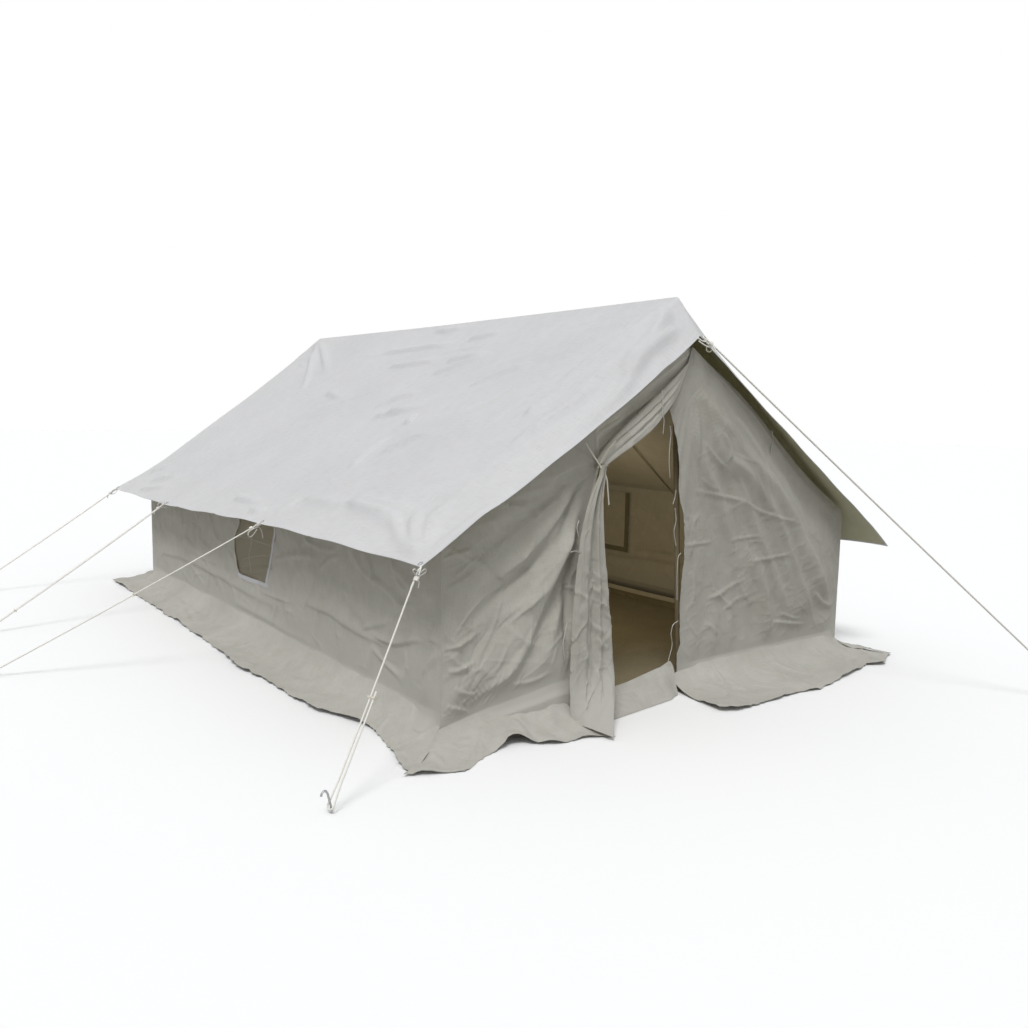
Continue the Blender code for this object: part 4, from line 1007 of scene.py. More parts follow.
def wallGrid(side):
    (beside, within), (below, inside, above) = window["columns"], window["rows"]
    ys = np.concatenate([np.linspace(-3.0, window["y"][0], beside), np.linspace(*window["y"], within)[1:],
                         np.linspace(window["y"][1], 3.0, beside)[1:]])
    zs = np.concatenate([np.linspace(0.03, window["z"][0], below), np.linspace(*window["z"], inside)[1:],
                         np.linspace(window["z"][1], 1.197, above)[1:]])
    y, z = np.meshgrid(ys if side > 0 else ys[::-1], zs)
    toEnd = room["halfLength"] - np.abs(y)
    fade = np.sin(math.pi * np.clip(z / room["wallHeight"], 0, 1)) * smooth(z, 0.08, 0.35) * smooth(toEnd, 0, 0.15)
    field = 0.007 * fade * (1 + np.sin(2 * math.pi * y / 1.1 + 1.1 * z))
    calm = 1 - 0.6 * np.exp(-(np.hypot((y + 0.02) / 0.5, (z - 0.82) / 0.36)) ** 4)
    field += calm * fade * (0.012 * softNoise(y, z, 0.55, 41, 1.6, 0.2) + 0.006 * softNoise(y, z, 0.2, 42, 2.2, 0.5))
    # tucks under the edge of the roof
    for at in (-3.0, -1.6, 0.0, 1.6, 3.0):
        near = np.exp(-np.hypot(y - at, z - 1.25) / 0.5)
        field += calm * fade * 0.009 * (fan(y, z, (at, 1.25), 16, 0.7, 1.5) - 0.3) * near
    extra = np.zeros_like(field)
    scatterCreases(extra, y, z, 44, 90, (0.15, 0.5), 0.016, 0.006, 1.3, 0.6)
    scatterCreases(extra, y, z, 45, 90, (0.1, 0.4), 0.014, 0.005, 0.3, 0.6)
    if side < 0:
        addFolds(extra, y, z, wallFolds, wallSpot)
    else:
        addFolds(extra, y, z, wallFolds[::2], lambda pixel: (-wallSpot(pixel)[0], wallSpot(pixel)[1]))
    field += 1.4 * extra * calm * smooth(z, 0.18, 0.30) * smooth(toEnd, 0, 0.05) * smooth(1.2 - z, 0.0, 0.06)
    corner = 1 + 0.8 * smooth(-y, 1.6, 2.6)
    field += 0.012 * corner * fade * calm * crumple(y, z, 0.22, 46, 1.7, 0.4)
    x = side * (room["halfWidth"] + field + footFlare(z, 0.20, 0.11) * smooth(toEnd, 0, 0.12))
    if side < 0:
        y = y + windowShift(y, z)
    return np.stack([x, y, z], axis=-1)


def windowFrame(name, side, points):
    # a double band of pale cloth sewn round the opening, standing 2 mm proud of the wall
    (y0, y1), (z0, z1), width = window["y"], window["z"], window["hem"]
    pieces = []
    bars = {"low": [(y0 - width, z0), (y1 + width, z0)], "high": [(y0 - width, z1), (y1 + width, z1)],
            "front": [(y0, z0 - width), (y0, z1 + width)], "back": [(y1, z0 - width), (y1, z1 + width)]}
    flat = points.reshape(-1, 3)
    for place, ((ya, za), (yb, zb)) in bars.items():
        steps = np.linspace(0, 1, 40)
        run, height = ya + (yb - ya) * steps, za + (zb - za) * steps
        sign = -1 if place in ("low", "front") else 1
        if place in ("low", "high"):
            height = height + sign * width / 2
        else:
            run = run + sign * width / 2
        if side < 0:
            run = run + windowShift(run, height)
        out = []
        for one, two in zip(run, height):   # lie on the cloth, wherever its folds are
            out.append(np.abs(flat[np.argsort(np.hypot(flat[:, 1] - one, flat[:, 2] - two))[:4], 0]).max())
        path = np.stack([side * (np.array(out) + 0.0012), run, height], axis=-1)
        half = width / 2
        outline = [(-half, -0.004), (half, -0.004), (half, 0.0012), (0.0, 0.0022), (-half, 0.0012)]
        finish = "binding" if place in ("low", "front") else "wall"
        pieces.append(settle(sweep(f"{name}_{place}", path, outline, finish, (side, 0, 0))))
    return pieces


def buildWall(name, side):
    points = wallGrid(side)
    (beside, within), (below, inside, _) = window["columns"], window["rows"]
    keep = np.ones((points.shape[0] - 1, points.shape[1] - 1), dtype=bool)
    keep[below - 1:below + inside - 2, beside - 1:beside + within - 2] = False
    wall = clothMesh(f"side_wall_cloth_{name}", points, "wall", keep=keep)
    settle(wall, replaces=[f"side_wall_{name}"])
    bars = windowFrame(f"window_hem_{name}", side, points)
    if side < 0:
        # netting sewn in behind the opening, taut, so flat
        y, z = np.meshgrid(np.linspace(0.50, -0.52, 40),
                           np.linspace(window["z"][0] - 0.02, window["z"][1] + 0.02, 30))
        net = clothMesh("window_net_left", np.stack([np.full(y.shape, -1.996), y, z], axis=-1), "net", 0.0006)
        bars.append(settle(net))


def buildWindowFlap(name, side, openAngle):
    hinge = np.array([side * window["flapX"], 0, window["z"][1] + window["lap"]])
    drop = window["z"][1] - window["z"][0] + 2 * window["lap"]
    reach = np.array([-side * math.sin(openAngle), 0, -math.cos(openAngle)])
    face = np.array([side * math.cos(openAngle), 0, -math.sin(openAngle)])
    ys = np.linspace(window["y"][0] - window["lap"], window["y"][1] + window["lap"], 50)
    if side > 0:
        ys = ys[::-1]
    y, down = np.meshgrid(ys, np.linspace(0, 1, 38))
    swell = 0.006 * np.sin(math.pi * down) * np.cos(2 * math.pi * (y + 0.02) / 0.45)
    swell = swell + 0.003 * softNoise(y, down * drop, 0.2, 51) * np.sin(math.pi * down)
    points = hinge + reach * (drop * down)[..., None] + face * swell[..., None]
    points[..., 1] += y
    border = np.ones((points.shape[0] - 1, points.shape[1] - 1), dtype=bool)
    # the dark band along the free edges is painted shadow, the shadow line under the flap's hem
    border[:-3, 3:-3] = False   # a band of 55 mm along the free edges
    flap = clothMesh(f"window_flap_cloth_{name}", points, "wall", patch=("band", border))
    settle(flap, f"window_flap_{name}", [f"window_flap_{name}"])


def buildWindowTies():
    # the tape that held the flap and a slack cord, across the left window
    x = -room["halfWidth"] + 0.012
    for name, pixels, width in (("tape", [(240, 536), (252, 540), (274, 547)], 0.014),
                                ("low_tape", [(236, 561), (252, 557), (276, 555)], 0.009)):
        tapeStrip(f"window_tie_{name}", [onPlane(pixel, 0, x) for pixel in pixels], width, (-1.0, 0, 0.2),
                  finish="wall")
    pixels = ((252, 538), (251, 546), (249, 555), (250, 564), (251, 572))
    thinCord("window_tie_cord", [onPlane(pixel, 0, x - 0.006) for pixel in pixels], 0.0028)


buildRoof()
buildWall("left", -1)
buildWall("right", 1)
buildWindowFlap("left", -1, window["open"])
buildWindowFlap("right", 1, 0.0)
buildWindowTies()
print("roof, side walls and window flaps sewn")


# Front
tie = Vector((-0.81, -3.06, 1.63))
doorLeftEdge = [(0.0, -1.10), (0.53, -1.02), (1.04, -0.94), (1.37, -0.88), (1.63, -0.81), (2.0, -0.81)]
doorRightEdge = [(0.0, 0.050), (0.27, 0.012), (0.34, 0.040), (0.63, 0.020), (0.97, 0.042), (1.21, 0.028),
                 (1.46, -0.030), (1.76, -0.045), (2.02, -0.140), (2.20, -0.055), (2.46, 0.045)]
hingeTop, hingeFoot, hingeY = (-0.175, 2.09), (0.95, 0.068), -3.002   # both ends as x and z
# folds of the front, left and right of the door: slopes on both sides and height in mm, then pixels
leftFolds = [
    (45, 25, 14, (597, 462), (578, 466), (555, 478), (542, 489)),
    (70, 35, -22, (588, 466), (560, 487), (525, 518), (479, 556), (450, 575)),
    (60, 28, 24, (584, 478), (558, 512), (530, 548), (500, 573), (476, 592)),
    (50, 34, -34, (588, 470), (567, 517), (555, 540), (520, 575), (483, 611), (450, 641)),
    (45, 50, 26, (576, 514), (556, 558), (538, 590), (504, 615), (479, 632)),
    (150, 40, 46, (580, 500), (556, 560), (513, 657), (479, 693), (446, 732)),
    (50, 90, -20, (576, 548), (552, 590), (538, 615), (508, 657), (479, 689), (447, 730)),
    (36, 26, 16, (567, 556), (560, 584), (555, 609), (548, 640)), (30, 26, -22, (566, 577), (563, 620), (561, 657)),
    (16, 9, 10, (477, 558), (486, 566), (500, 577), (512, 587)), (12, 8, 8, (508, 505), (522, 506), (536, 507)),
    (22, 12, 12, (443, 560), (460, 552), (474, 549)), (20, 12, 10, (446, 590), (466, 576), (476, 566)),
    (14, 8, 9, (478, 556), (466, 566), (450, 580)), (16, 9, 9, (452, 548), (470, 560), (478, 560)),
    (22, 10, 14, (444, 650), (460, 642), (480, 630)), (20, 10, 13, (446, 652), (458, 664), (470, 668)),
    (20, 10, 12, (444, 632), (452, 641), (462, 648)), (18, 10, 12, (446, 672), (458, 668), (474, 660)),
    (18, 10, 9, (452, 686), (462, 692), (476, 694)), (20, 10, 10, (446, 706), (466, 712), (480, 722)),
    (16, 9, 7, (530, 522), (540, 530), (548, 545)), (14, 8, 7, (536, 560), (528, 574), (524, 590)),
    (10, 5, 3, (475, 659), (500, 659), (530, 660), (556, 661)), (30, 18, 10, (497, 620), (520, 640), (541, 646)),
    (26, 12, 9, (500, 682), (524, 680), (548, 668)), (22, 10, 8, (470, 715), (492, 706), (512, 700)),
]
rightFolds = [
    (50, 26, 22, (698, 388), (710, 412), (726, 438)),
    (110, 60, 62, (708, 374), (730, 444), (767, 490), (805, 558), (838, 628)),
    (90, 50, 50, (705, 382), (718, 451), (740, 476), (767, 519), (796, 587), (815, 631)),
    (70, 45, 36, (697, 404), (692, 461), (699, 495), (708, 529), (723, 560)),
    (70, 45, 36, (745, 545), (757, 575), (764, 604), (768, 646)),
    (70, 40, 36, (690, 420), (704, 470), (718, 500), (735, 560), (747, 611)),
    (70, 70, -22, (712, 382), (760, 446), (826, 530)), (70, 42, 34, (726, 470), (748, 520), (772, 580), (790, 634)),
    (60, 60, -20, (716, 420), (748, 490), (782, 560), (800, 612)),
    (40, 20, 16, (720, 400), (748, 440), (776, 500), (800, 540)),
    (24, 10, 12, (690, 489), (712, 494), (730, 498), (744, 503)), (24, 10, 11, (736, 500), (762, 514), (790, 522)),
    (18, 9, 9, (682, 545), (700, 543), (716, 540)), (16, 9, 8, (724, 541), (742, 537), (760, 534)),
    (20, 10, 10, (744, 561), (762, 557), (786, 552)), (20, 10, 9, (700, 477), (708, 486), (716, 489)),
    (26, 12, 15, (706, 599), (722, 592), (734, 584), (748, 577)), (24, 11, 13, (722, 610), (736, 600), (750, 592)),
    (22, 11, 12, (712, 588), (724, 600), (736, 610)), (20, 10, 11, (736, 572), (742, 590), (752, 604)),
    (26, 11, 13, (768, 621), (786, 622), (806, 624)), (20, 10, 9, (776, 612), (790, 617), (800, 617)),
    (22, 11, 11, (704, 622), (712, 628), (718, 636)), (22, 11, 12, (690, 570), (694, 588), (692, 606)),
    (28, 13, 14, (684, 520), (690, 540), (688, 562)), (26, 12, 12, (699, 512), (694, 526), (700, 545)),
    (30, 16, 12, (806, 590), (820, 602), (834, 606)), (24, 12, 9, (776, 470), (790, 490), (800, 512)),
    (24, 12, 12, (700, 440), (714, 462), (722, 470)), (24, 11, 11, (712, 430), (722, 450), (716, 466)),
]


def frontSpot(pixel):
    place = onPlane(pixel, 1, -room["halfLength"] - 0.02)
    return place.x, place.z


def along(line, z):
    return np.interp(z, [p[0] for p in line], [p[1] for p in line])


def buildFrontLeft():
    u, v = np.meshgrid(np.linspace(0, 1, 190), np.linspace(0, 1, 190))
    left = -room["halfWidth"]
    rise = v * 1.97   # the height at the door's edge
    right = along(doorLeftEdge, rise) + 0.07 * smooth(0.9 - rise, 0, 0.6)
    x = left + u * (right - left)
    top = innerTop(left + u * (along(doorLeftEdge, 2.0) - left)) - 0.002
    z = 0.03 + v * (top - 0.03)
    lift = np.interp(x, [-2.0, -1.17], [0.11, 0.27])
    fade = smooth(u, 0, 0.1) * np.minimum((1 - v) / 0.10, 1) * smooth(z - lift, -0.02, 0.2)
    distance = np.hypot(x - tie.x, z - tie.z)
    field = 0.026 * fade + 0.008 * fade * fan(x, z, (tie.x, tie.z), 37, 2.0, 1.4, 0.06) * smooth(distance, 0.15, 0.6)
    field += 0.008 * softNoise(x, z, 0.35, 61) * fade
    extra = np.zeros_like(field)
    addFolds(extra, x, z, leftFolds, frontSpot)
    extra *= 1.1
    extra += 0.006 * crumple(x, z, 0.16, 66, 1.6, 0.9) * smooth(distance, 0.2, 0.6)
    scatterCreases(extra, x, z, 62, 60, (0.15, 0.5), 0.014, 0.006,
                   lambda p, q: math.atan2(tie.z - q, tie.x - p), 0.28)
    scatterCreases(extra, x, z, 63, 80, (0.08, 0.3), 0.012, 0.005, 0.2, 0.9)
    field += extra * smooth(z - lift, 0.0, 0.10) * np.minimum((1 - v) / 0.05, 1) * smooth(u, 0, 0.03)
    field += 0.05 * smooth(u, 0.75, 1.0) * smooth(0.5 - z, 0, 0.4)   # the door edge hangs forward at the foot
    field += 0.07 * smooth(u, 0.2, 0.8) * smooth(1.0 - z, 0, 0.8)
    flare = footFlare(z, lift, 0.05) * smooth(1.0 - u, 0, 0.2) * smooth(u, 0, 0.12)
    points = np.stack([x, -room["halfLength"] - field - flare, z], axis=-1)
    cloth = clothMesh("gable_front_left_cloth", points, "wall")
    settle(cloth, replaces=["gable_front_left"])
    hem = hemStrip("gable_front_left_hem", points, "right", 0.022, "hem")


def buildHeader():
    x, v = np.meshgrid(np.linspace(-0.82, 0.045, 120), np.linspace(0, 1, 40))
    z = innerTop(x) - 0.002 - 0.30 * (1 - v)
    field = 0.008 * softNoise(x, z, 0.12, 64) * np.sin(math.pi * v)
    for at, height in ((0.25, 0.012), (0.52, 0.016), (0.80, 0.010)):   # soft folds along the slope
        fold = foldProfile(v - at - 0.08 * np.sin(3 * x + 9 * at), 0.10, 0.05)
        field += height * fold * smooth(v, 0, 0.1) * smooth(1 - v, 0, 0.1)
    points = np.stack([x, -room["halfLength"] - field, z], axis=-1)
    # the paler hem finish here is painted light that lifts the header out of the fly's shade
    header = clothMesh("gable_header_cloth", points, "hem")
    settle(header, replaces=["gable_front_header"])


def hingeAt(z):
    share = (hingeTop[1] - z) / (hingeTop[1] - hingeFoot[1])
    return hingeTop[0] + share * (hingeFoot[0] - hingeTop[0])


def buildFrontRight():
    # one sheet from the door's edge to the corner
    zs = np.concatenate([np.linspace(0.03, 2.04, 210), np.linspace(2.04, 2.458, 44)[1:]])
    u, z = np.meshgrid(np.linspace(0, 1, 196), zs)
    xs = np.linspace(room["ridgeX"], room["halfWidth"], 60)
    right = np.interp(-z, -innerTop(xs), xs) - 0.004
    xs = np.linspace(-room["halfWidth"], room["ridgeX"], 60)
    leftSlope = np.interp(z, innerTop(xs), xs)
    ragged = 0.006 * edgeNoise(z, 0.11, 74) + 0.003 * edgeNoise(z, 0.04, 75)
    left = np.maximum(along(doorRightEdge, z) + ragged, leftSlope + 0.004)
    x = left + u * (right - left)
    apex = (room["ridgeX"], 2.45)
    beside = np.clip(np.abs(x - hingeAt(z)) / 0.20, 0.25, 1)
    fade = smooth(1 - u, 0, 0.1) * smooth(z, 0.08, 0.35)
    field = 0.014 * beside * fade + 0.008 * fade * fan(x, z, apex, 53, 0.4, 1.3, 0.05) * smooth(2.2 - z, 0, 0.5)
    field += 0.007 * softNoise(x, z, 0.3, 71) * fade
    # the cloth bellies along a line from the peak to the outer foot, and falls back to the corner
    belly = np.zeros_like(field)
    addFold(belly, x, z, [(0.1, 2.4), (0.72, 1.65), (1.28, 0.95), (1.68, 0.30)], 0.34, 0.30, 0.062, (0.35, 0.15))
    field += belly * smooth(z, 0.12, 0.5)
    extra = np.zeros_like(field)
    addFolds(extra, x, z, rightFolds, frontSpot)
    extra += 0.004 * crumple(x, z, 0.13, 76, 1.7, -1.0) * smooth(1.9 - z, 0, 0.5)
    extra += 0.003 * crumple(x, z, 0.07, 77, 1.3, 0.3) * smooth(1.6 - z, 0, 0.5)
    scatterCreases(extra, x, z, 72, 70, (0.12, 0.4), 0.013, 0.005,
                   lambda p, q: math.atan2(apex[1] - q, apex[0] - p), 0.3)
    scatterCreases(extra, x, z, 73, 90, (0.06, 0.22), 0.011, 0.004, 0.4, 0.9)
    field += extra * beside ** 0.5 * smooth(z, 0.17, 0.30) * smooth(1 - u, 0, 0.04)
    flare = footFlare(z, 0.18, 0.10) * smooth(u, 0.0, 0.12) * smooth(1 - u, 0, 0.06)
    points = np.stack([x, -room["halfLength"] - 0.002 - field - flare, z], axis=-1)
    # this darker finish is painted shade, standing in for the fly's shadow over this gable and flap
    cloth = clothMesh("gable_right_and_flap_cloth", points, "shadedPanel")
    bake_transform(cloth)
    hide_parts("gable_front_right", "door_flap_right")
    rows = zs < 2.05
    hem = hemStrip("door_flap_right_hem", points[rows], "left", 0.014, "shadedPanel", body="door_flap_right")


buildFrontLeft()
buildHeader()
buildFrontRight()
print("front sewn")


tail = {
    "width": 0.32, "length": 1.6,
    # shares of the height, and points, along both edges
    "right": [(0.0, (-1.13, -3.56, 0.000)), (0.06, (-0.98, -3.40, 0.10)), (0.14, (-0.80, -3.20, 0.26)),
              (0.27, (-0.775, -3.15, 0.46)), (0.45, (-0.79, -3.125, 0.74)), (0.7, (-0.83, -3.11, 1.13)),
              (0.88, (-0.855, -3.10, 1.42)), (0.95, (-0.850, -3.09, 1.54)), (1.0, (-0.825, -3.085, 1.62))],
    "left": [(0.0, (-1.16, -3.21, 0.020)), (0.1, (-1.15, -3.17, 0.20)), (0.27, (-1.13, -3.145, 0.48)),
             (0.45, (-1.105, -3.13, 0.78)), (0.7, (-1.06, -3.12, 1.18)), (0.88, (-0.985, -3.11, 1.45)),
             (0.95, (-0.915, -3.10, 1.56)), (1.0, (-0.865, -3.085, 1.62))],
    # place across the tail, slopes on both sides and height in m
    "folds": [(0.06, 0.02, 0.03, 0.018), (0.30, 0.05, 0.022, 0.034), (0.56, 0.02, 0.016, -0.012),
              (0.66, 0.03, 0.018, 0.024), (0.90, 0.035, 0.02, 0.026)],
    # slopes and height in m, then places (across, up) in m on the cloth
    "crumples": [(0.022, 0.012, 0.014, (0.14, 0.86), (0.22, 0.80), (0.28, 0.70)),
                 (0.016, 0.010, 0.009, (0.20, 0.74), (0.25, 0.73), (0.29, 0.69)),
                 (0.026, 0.012, 0.014, (0.12, 0.66), (0.19, 0.58), (0.28, 0.55)),
                 (0.018, 0.012, 0.010, (0.18, 0.52), (0.24, 0.46), (0.29, 0.44)),
                 (0.030, 0.014, 0.018, (0.06, 0.50), (0.12, 0.40), (0.20, 0.26), (0.26, 0.10)),
                 (0.034, 0.016, 0.014, (0.22, 0.40), (0.27, 0.26), (0.30, 0.12)),
                 (0.018, 0.010, 0.010, (0.10, 0.26), (0.15, 0.22), (0.18, 0.15)),
                 (0.018, 0.010, 0.010, (0.14, 0.98), (0.20, 0.92), (0.26, 0.90))],
}


def smoothAlong(line, t):
    # the line through (t, point) pairs, rounded by averaging near values
    steps = [-0.06, -0.03, 0.0, 0.03, 0.06]
    at = [p[0] for p in line]
    parts = []
    for k in range(3):
        parts.append(np.mean([np.interp(np.clip(t + s, 0, 1), at, [p[1][k] for p in line]) for s in steps], axis=0))
    return np.stack(parts, axis=-1)


def buildTail():
    u, v = np.meshgrid(np.linspace(0, 1, 110), np.linspace(0, 1.03, 180))
    base = smoothAlong(tail["left"], v) * (1 - u)[..., None] + smoothAlong(tail["right"], v) * u[..., None]
    base[..., 2] += 0.05 * np.maximum(v - 1, 0) / 0.03
    a, b = u * tail["width"], v * tail["length"]
    # lengthwise folds, all running together at the tie
    fold = np.zeros_like(u)
    for at, before, after, height in tail["folds"]:
        middle = at + 0.05 * np.sin(2.2 * v + 9 * at) * (1 - v)
        off = (u - middle) * tail["width"]
        fold += height * foldProfile(off, before, after) * (0.35 + 0.65 * smooth(v, 0.02, 0.35))
    extra = np.zeros_like(fold)
    for before, after, height, *line in tail["crumples"]:
        addFold(extra, a, b, line, before, after, height)
    extra += 0.010 * crumple(a, b, 0.09, 83, 1.5, 1.0) * smooth(1.3 - b, 0, 0.5)
    scatterCreases(extra, a, b, 81, 50, (0.08, 0.3), 0.010, 0.005, 1.5, 0.4)
    scatterCreases(extra, a, b, 82, 40, (0.06, 0.2), 0.008, 0.006, 0.5, 0.6)
    points = base.copy()
    points[..., 1] -= 0.012 + fold + extra * smooth(1 - v, 0.0, 0.15)
    # the same darker finish: painted shade
    cloth = clothMesh("door_flap_left_cloth", points, "shadedPanel")
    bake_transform(cloth)
    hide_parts("door_flap_left")
    below = points[:160]
    trims = [hemStrip("door_flap_left_hem", points, "low", 0.02, "shadedPanel", body="door_flap_left"),
             hemStrip("door_flap_left_side_hem", below, "right", 0.012, "shadedPanel", body="door_flap_left")]


def buildGather():
    # the top of the left flap, rolled back from the door and running from the tie to the peak
    upper = [(-0.862, 1.690), (-0.800, 1.765), (-0.720, 1.838), (-0.637, 1.900), (-0.470, 2.016), (-0.302, 2.133),
             (-0.120, 2.260), (0.020, 2.370)]
    lower = [(-0.800, 1.640), (-0.720, 1.690), (-0.620, 1.748), (-0.520, 1.800), (-0.386, 1.880), (-0.250, 1.985),
             (-0.150, 2.060), (-0.100, 2.110)]
    rings, sides = 110, 64
    t = np.linspace(0, 1, rings)
    edges = []
    for line in (upper, lower):
        path = curveThrough([(p[0], 0, p[1]) for p in line], 0.004)
        pick = t * (len(path) - 1)
        edges.append(np.stack([np.interp(pick, np.arange(len(path)), path[:, k]) for k in (0, 2)], axis=-1))
    centre, half = (edges[0] + edges[1]) / 2, (edges[0] - edges[1]) / 2
    angle = around(sides)[None, :]
    t = t[:, None]
    # rolled cloth is thickest along its lower edge; the turns of the roll show as long pleats
    body = 0.004 + 0.016 * smooth(1 - t, 0, 0.2) + 0.030 * smooth(t, 0, 0.3) * smooth(1 - t, 0.0, 0.5)
    width = np.cos(angle)
    pleat = 0.0
    for at, slope, height in ((-0.62, 0.22, 0.22), (-0.15, 0.16, -0.25), (0.20, 0.22, 0.18), (0.55, 0.14, -0.34)):
        off = width - at - 0.12 * np.sin(3.2 * t + 5 * at)
        pleat = pleat + height * foldProfile(off, slope, 0.6 * slope)
    pleat = pleat + 0.12 * softNoise(width * 0.08, t * 0.8 + 0 * width, 0.05, 65, 1.0)
    rise = np.sin(angle)
    depth = body * np.abs(rise) ** 0.7 * np.sign(rise) * np.where(rise > 0, 1 + pleat, 0.5)
    depth = depth + 0.35 * body * np.where(rise > 0, -width, 0) * np.abs(rise)
    points = np.zeros((rings, sides, 3))
    points[..., 0] = centre[:, :1] + half[:, :1] * width
    points[..., 2] = centre[:, 1:] + half[:, 1:] * width
    points[..., 1] = -3.058 + 0.034 * t ** 2 - depth   # it leans back to the gable towards the peak
    cut = np.zeros(points.shape)
    cut[..., 0] = angle * 0.05
    cut[..., 1] = t * 1.1
    bundle = tubeMesh("door_flap_left_gather", points, "wall", cut, 60)
    turnOutward(bundle)
    settle(bundle, replaces=["door_flap_left_fold"])


def buildTie():
    # two turns of tape round the bundle, drawn tight, and the ends that cross and hang from it
    points = []
    for k in range(37):
        angle = 2 * math.pi * k / 18
        points.append((tie.x - 0.016 + 0.044 * math.cos(angle), tie.y - 0.004 + 0.034 * math.sin(angle),
                       tie.z + 0.012 + 0.018 * k / 36))
    band = tapeStrip("door_tie_tape", points, 0.014, (0, 0, 1))
    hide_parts("door_tie_left")
    pixelTape("door_tie_end_up", [(586, 443), (592, 453), (599, 464), (604, 473)], -3.112, 0.013)
    pixelTape("door_tie_end_low", [(600, 466), (604, 471), (607, 480), (608, 492), (609, 505)], -3.118, 0.015)
    pixelTape("door_tie_end_back", [(616, 441), (608, 450), (601, 462), (598, 468)], -3.108, 0.012)


def buildDoorCords():
    # tie cords sewn along both edges of the door, thin and slack, and the tapes on the fixed cloth
    hang = {"a": [(670, 426), (671, 434), (670, 443), (669, 460), (670, 478)],
            "b": [(676, 490), (675, 497), (673, 504)],
            "c": [(675, 508), (676, 520), (674, 532), (676, 546)],
            "d": [(681, 553), (678, 558), (677, 575), (677, 600)],
            "e": [(678, 621), (673, 625), (671, 634), (672, 645), (668, 662)]}
    for name, pixels in hang.items():
        pixelCord(f"door_edge_cord_{name}", pixels, -3.020, 0.0035, "door_flap_right")
    pixelCord("door_peak_cord_a", [(662, 390), (663, 402), (662, 415)], -3.105, 0.0035)
    pixelCord("door_peak_cord_b", [(662, 412), (664, 420), (663, 434)], -3.104, 0.0035)
    pixelTape("gable_tape_a", [(772, 430), (773, 440), (771, 452), (771, 464)], -3.048, 0.012)
    pixelTape("gable_tape_b", [(774, 480), (772, 484), (770, 490), (771, 495)], -3.052, 0.012)
    pixelCord("door_slit_cord_a", [(579, 520), (577, 528), (579, 538)], -3.112, 0.004)
    pixelCord("door_slit_cord_b", [(571, 552), (576, 551), (581, 553)], -3.150, 0.004)
    pixelCord("door_slit_cord_c", [(567, 622), (565, 632), (563, 645), (565, 660)], -3.120, 0.004)


buildTail()
buildGather()
buildTie()
buildDoorCords()
print("door tied back")


def buildBack():
    u, v = np.meshgrid(np.linspace(1, 0, 160), np.linspace(0, 1, 100))
    x = -room["halfWidth"] + u * 2 * room["halfWidth"]
    z = 0.03 + v * (innerSlope(x) - 0.032)
    fade = np.sin(math.pi * v) * np.sin(math.pi * u) * smooth(z, 0.08, 0.35)
    field = 0.008 * fade * (1 + np.cos(2 * math.pi * x / 0.7)) + 0.012 * fade * crumple(x, z, 0.2, 94, 1.7, 1.3)
    apex = (room["ridgeX"], room["ridgeHeight"])
    field += 0.010 * fade * fan(x, z, apex, 26, 0.3, 1.2, 0.04) + 0.008 * softNoise(x, z, 0.4, 91) * fade
    extra = np.zeros_like(field)
    scatterCreases(extra, x, z, 92, 120, (0.15, 0.6), 0.018, 0.007, 1.5, 0.5)
    scatterCreases(extra, x, z, 93, 90, (0.08, 0.3), 0.014, 0.006, 0.3, 0.8)
    for foot, height in ((-1.5, 0.020), (-0.8, 0.024), (-0.2, 0.018), (0.4, 0.022), (1.1, 0.024), (1.7, 0.018)):
        addFold(extra, x, z, [(0.05, 2.2), (foot * 0.4, 1.5), (foot * 0.8, 0.8), (foot, 0.2)], 0.06, 0.03, height)
    field += extra * smooth(z, 0.10, 0.2) * smooth(fade, 0, 0.15)
    flare = footFlare(z, 0.10, 0.07) * smooth(2.0 - np.abs(x), 0, 0.12)
    points = np.stack([x, room["halfLength"] + field + flare, z], axis=-1)
    cloth = clothMesh("gable_back_cloth", points, "wall")
    settle(cloth, replaces=["gable_back"])


buildBack()
print("back sewn")


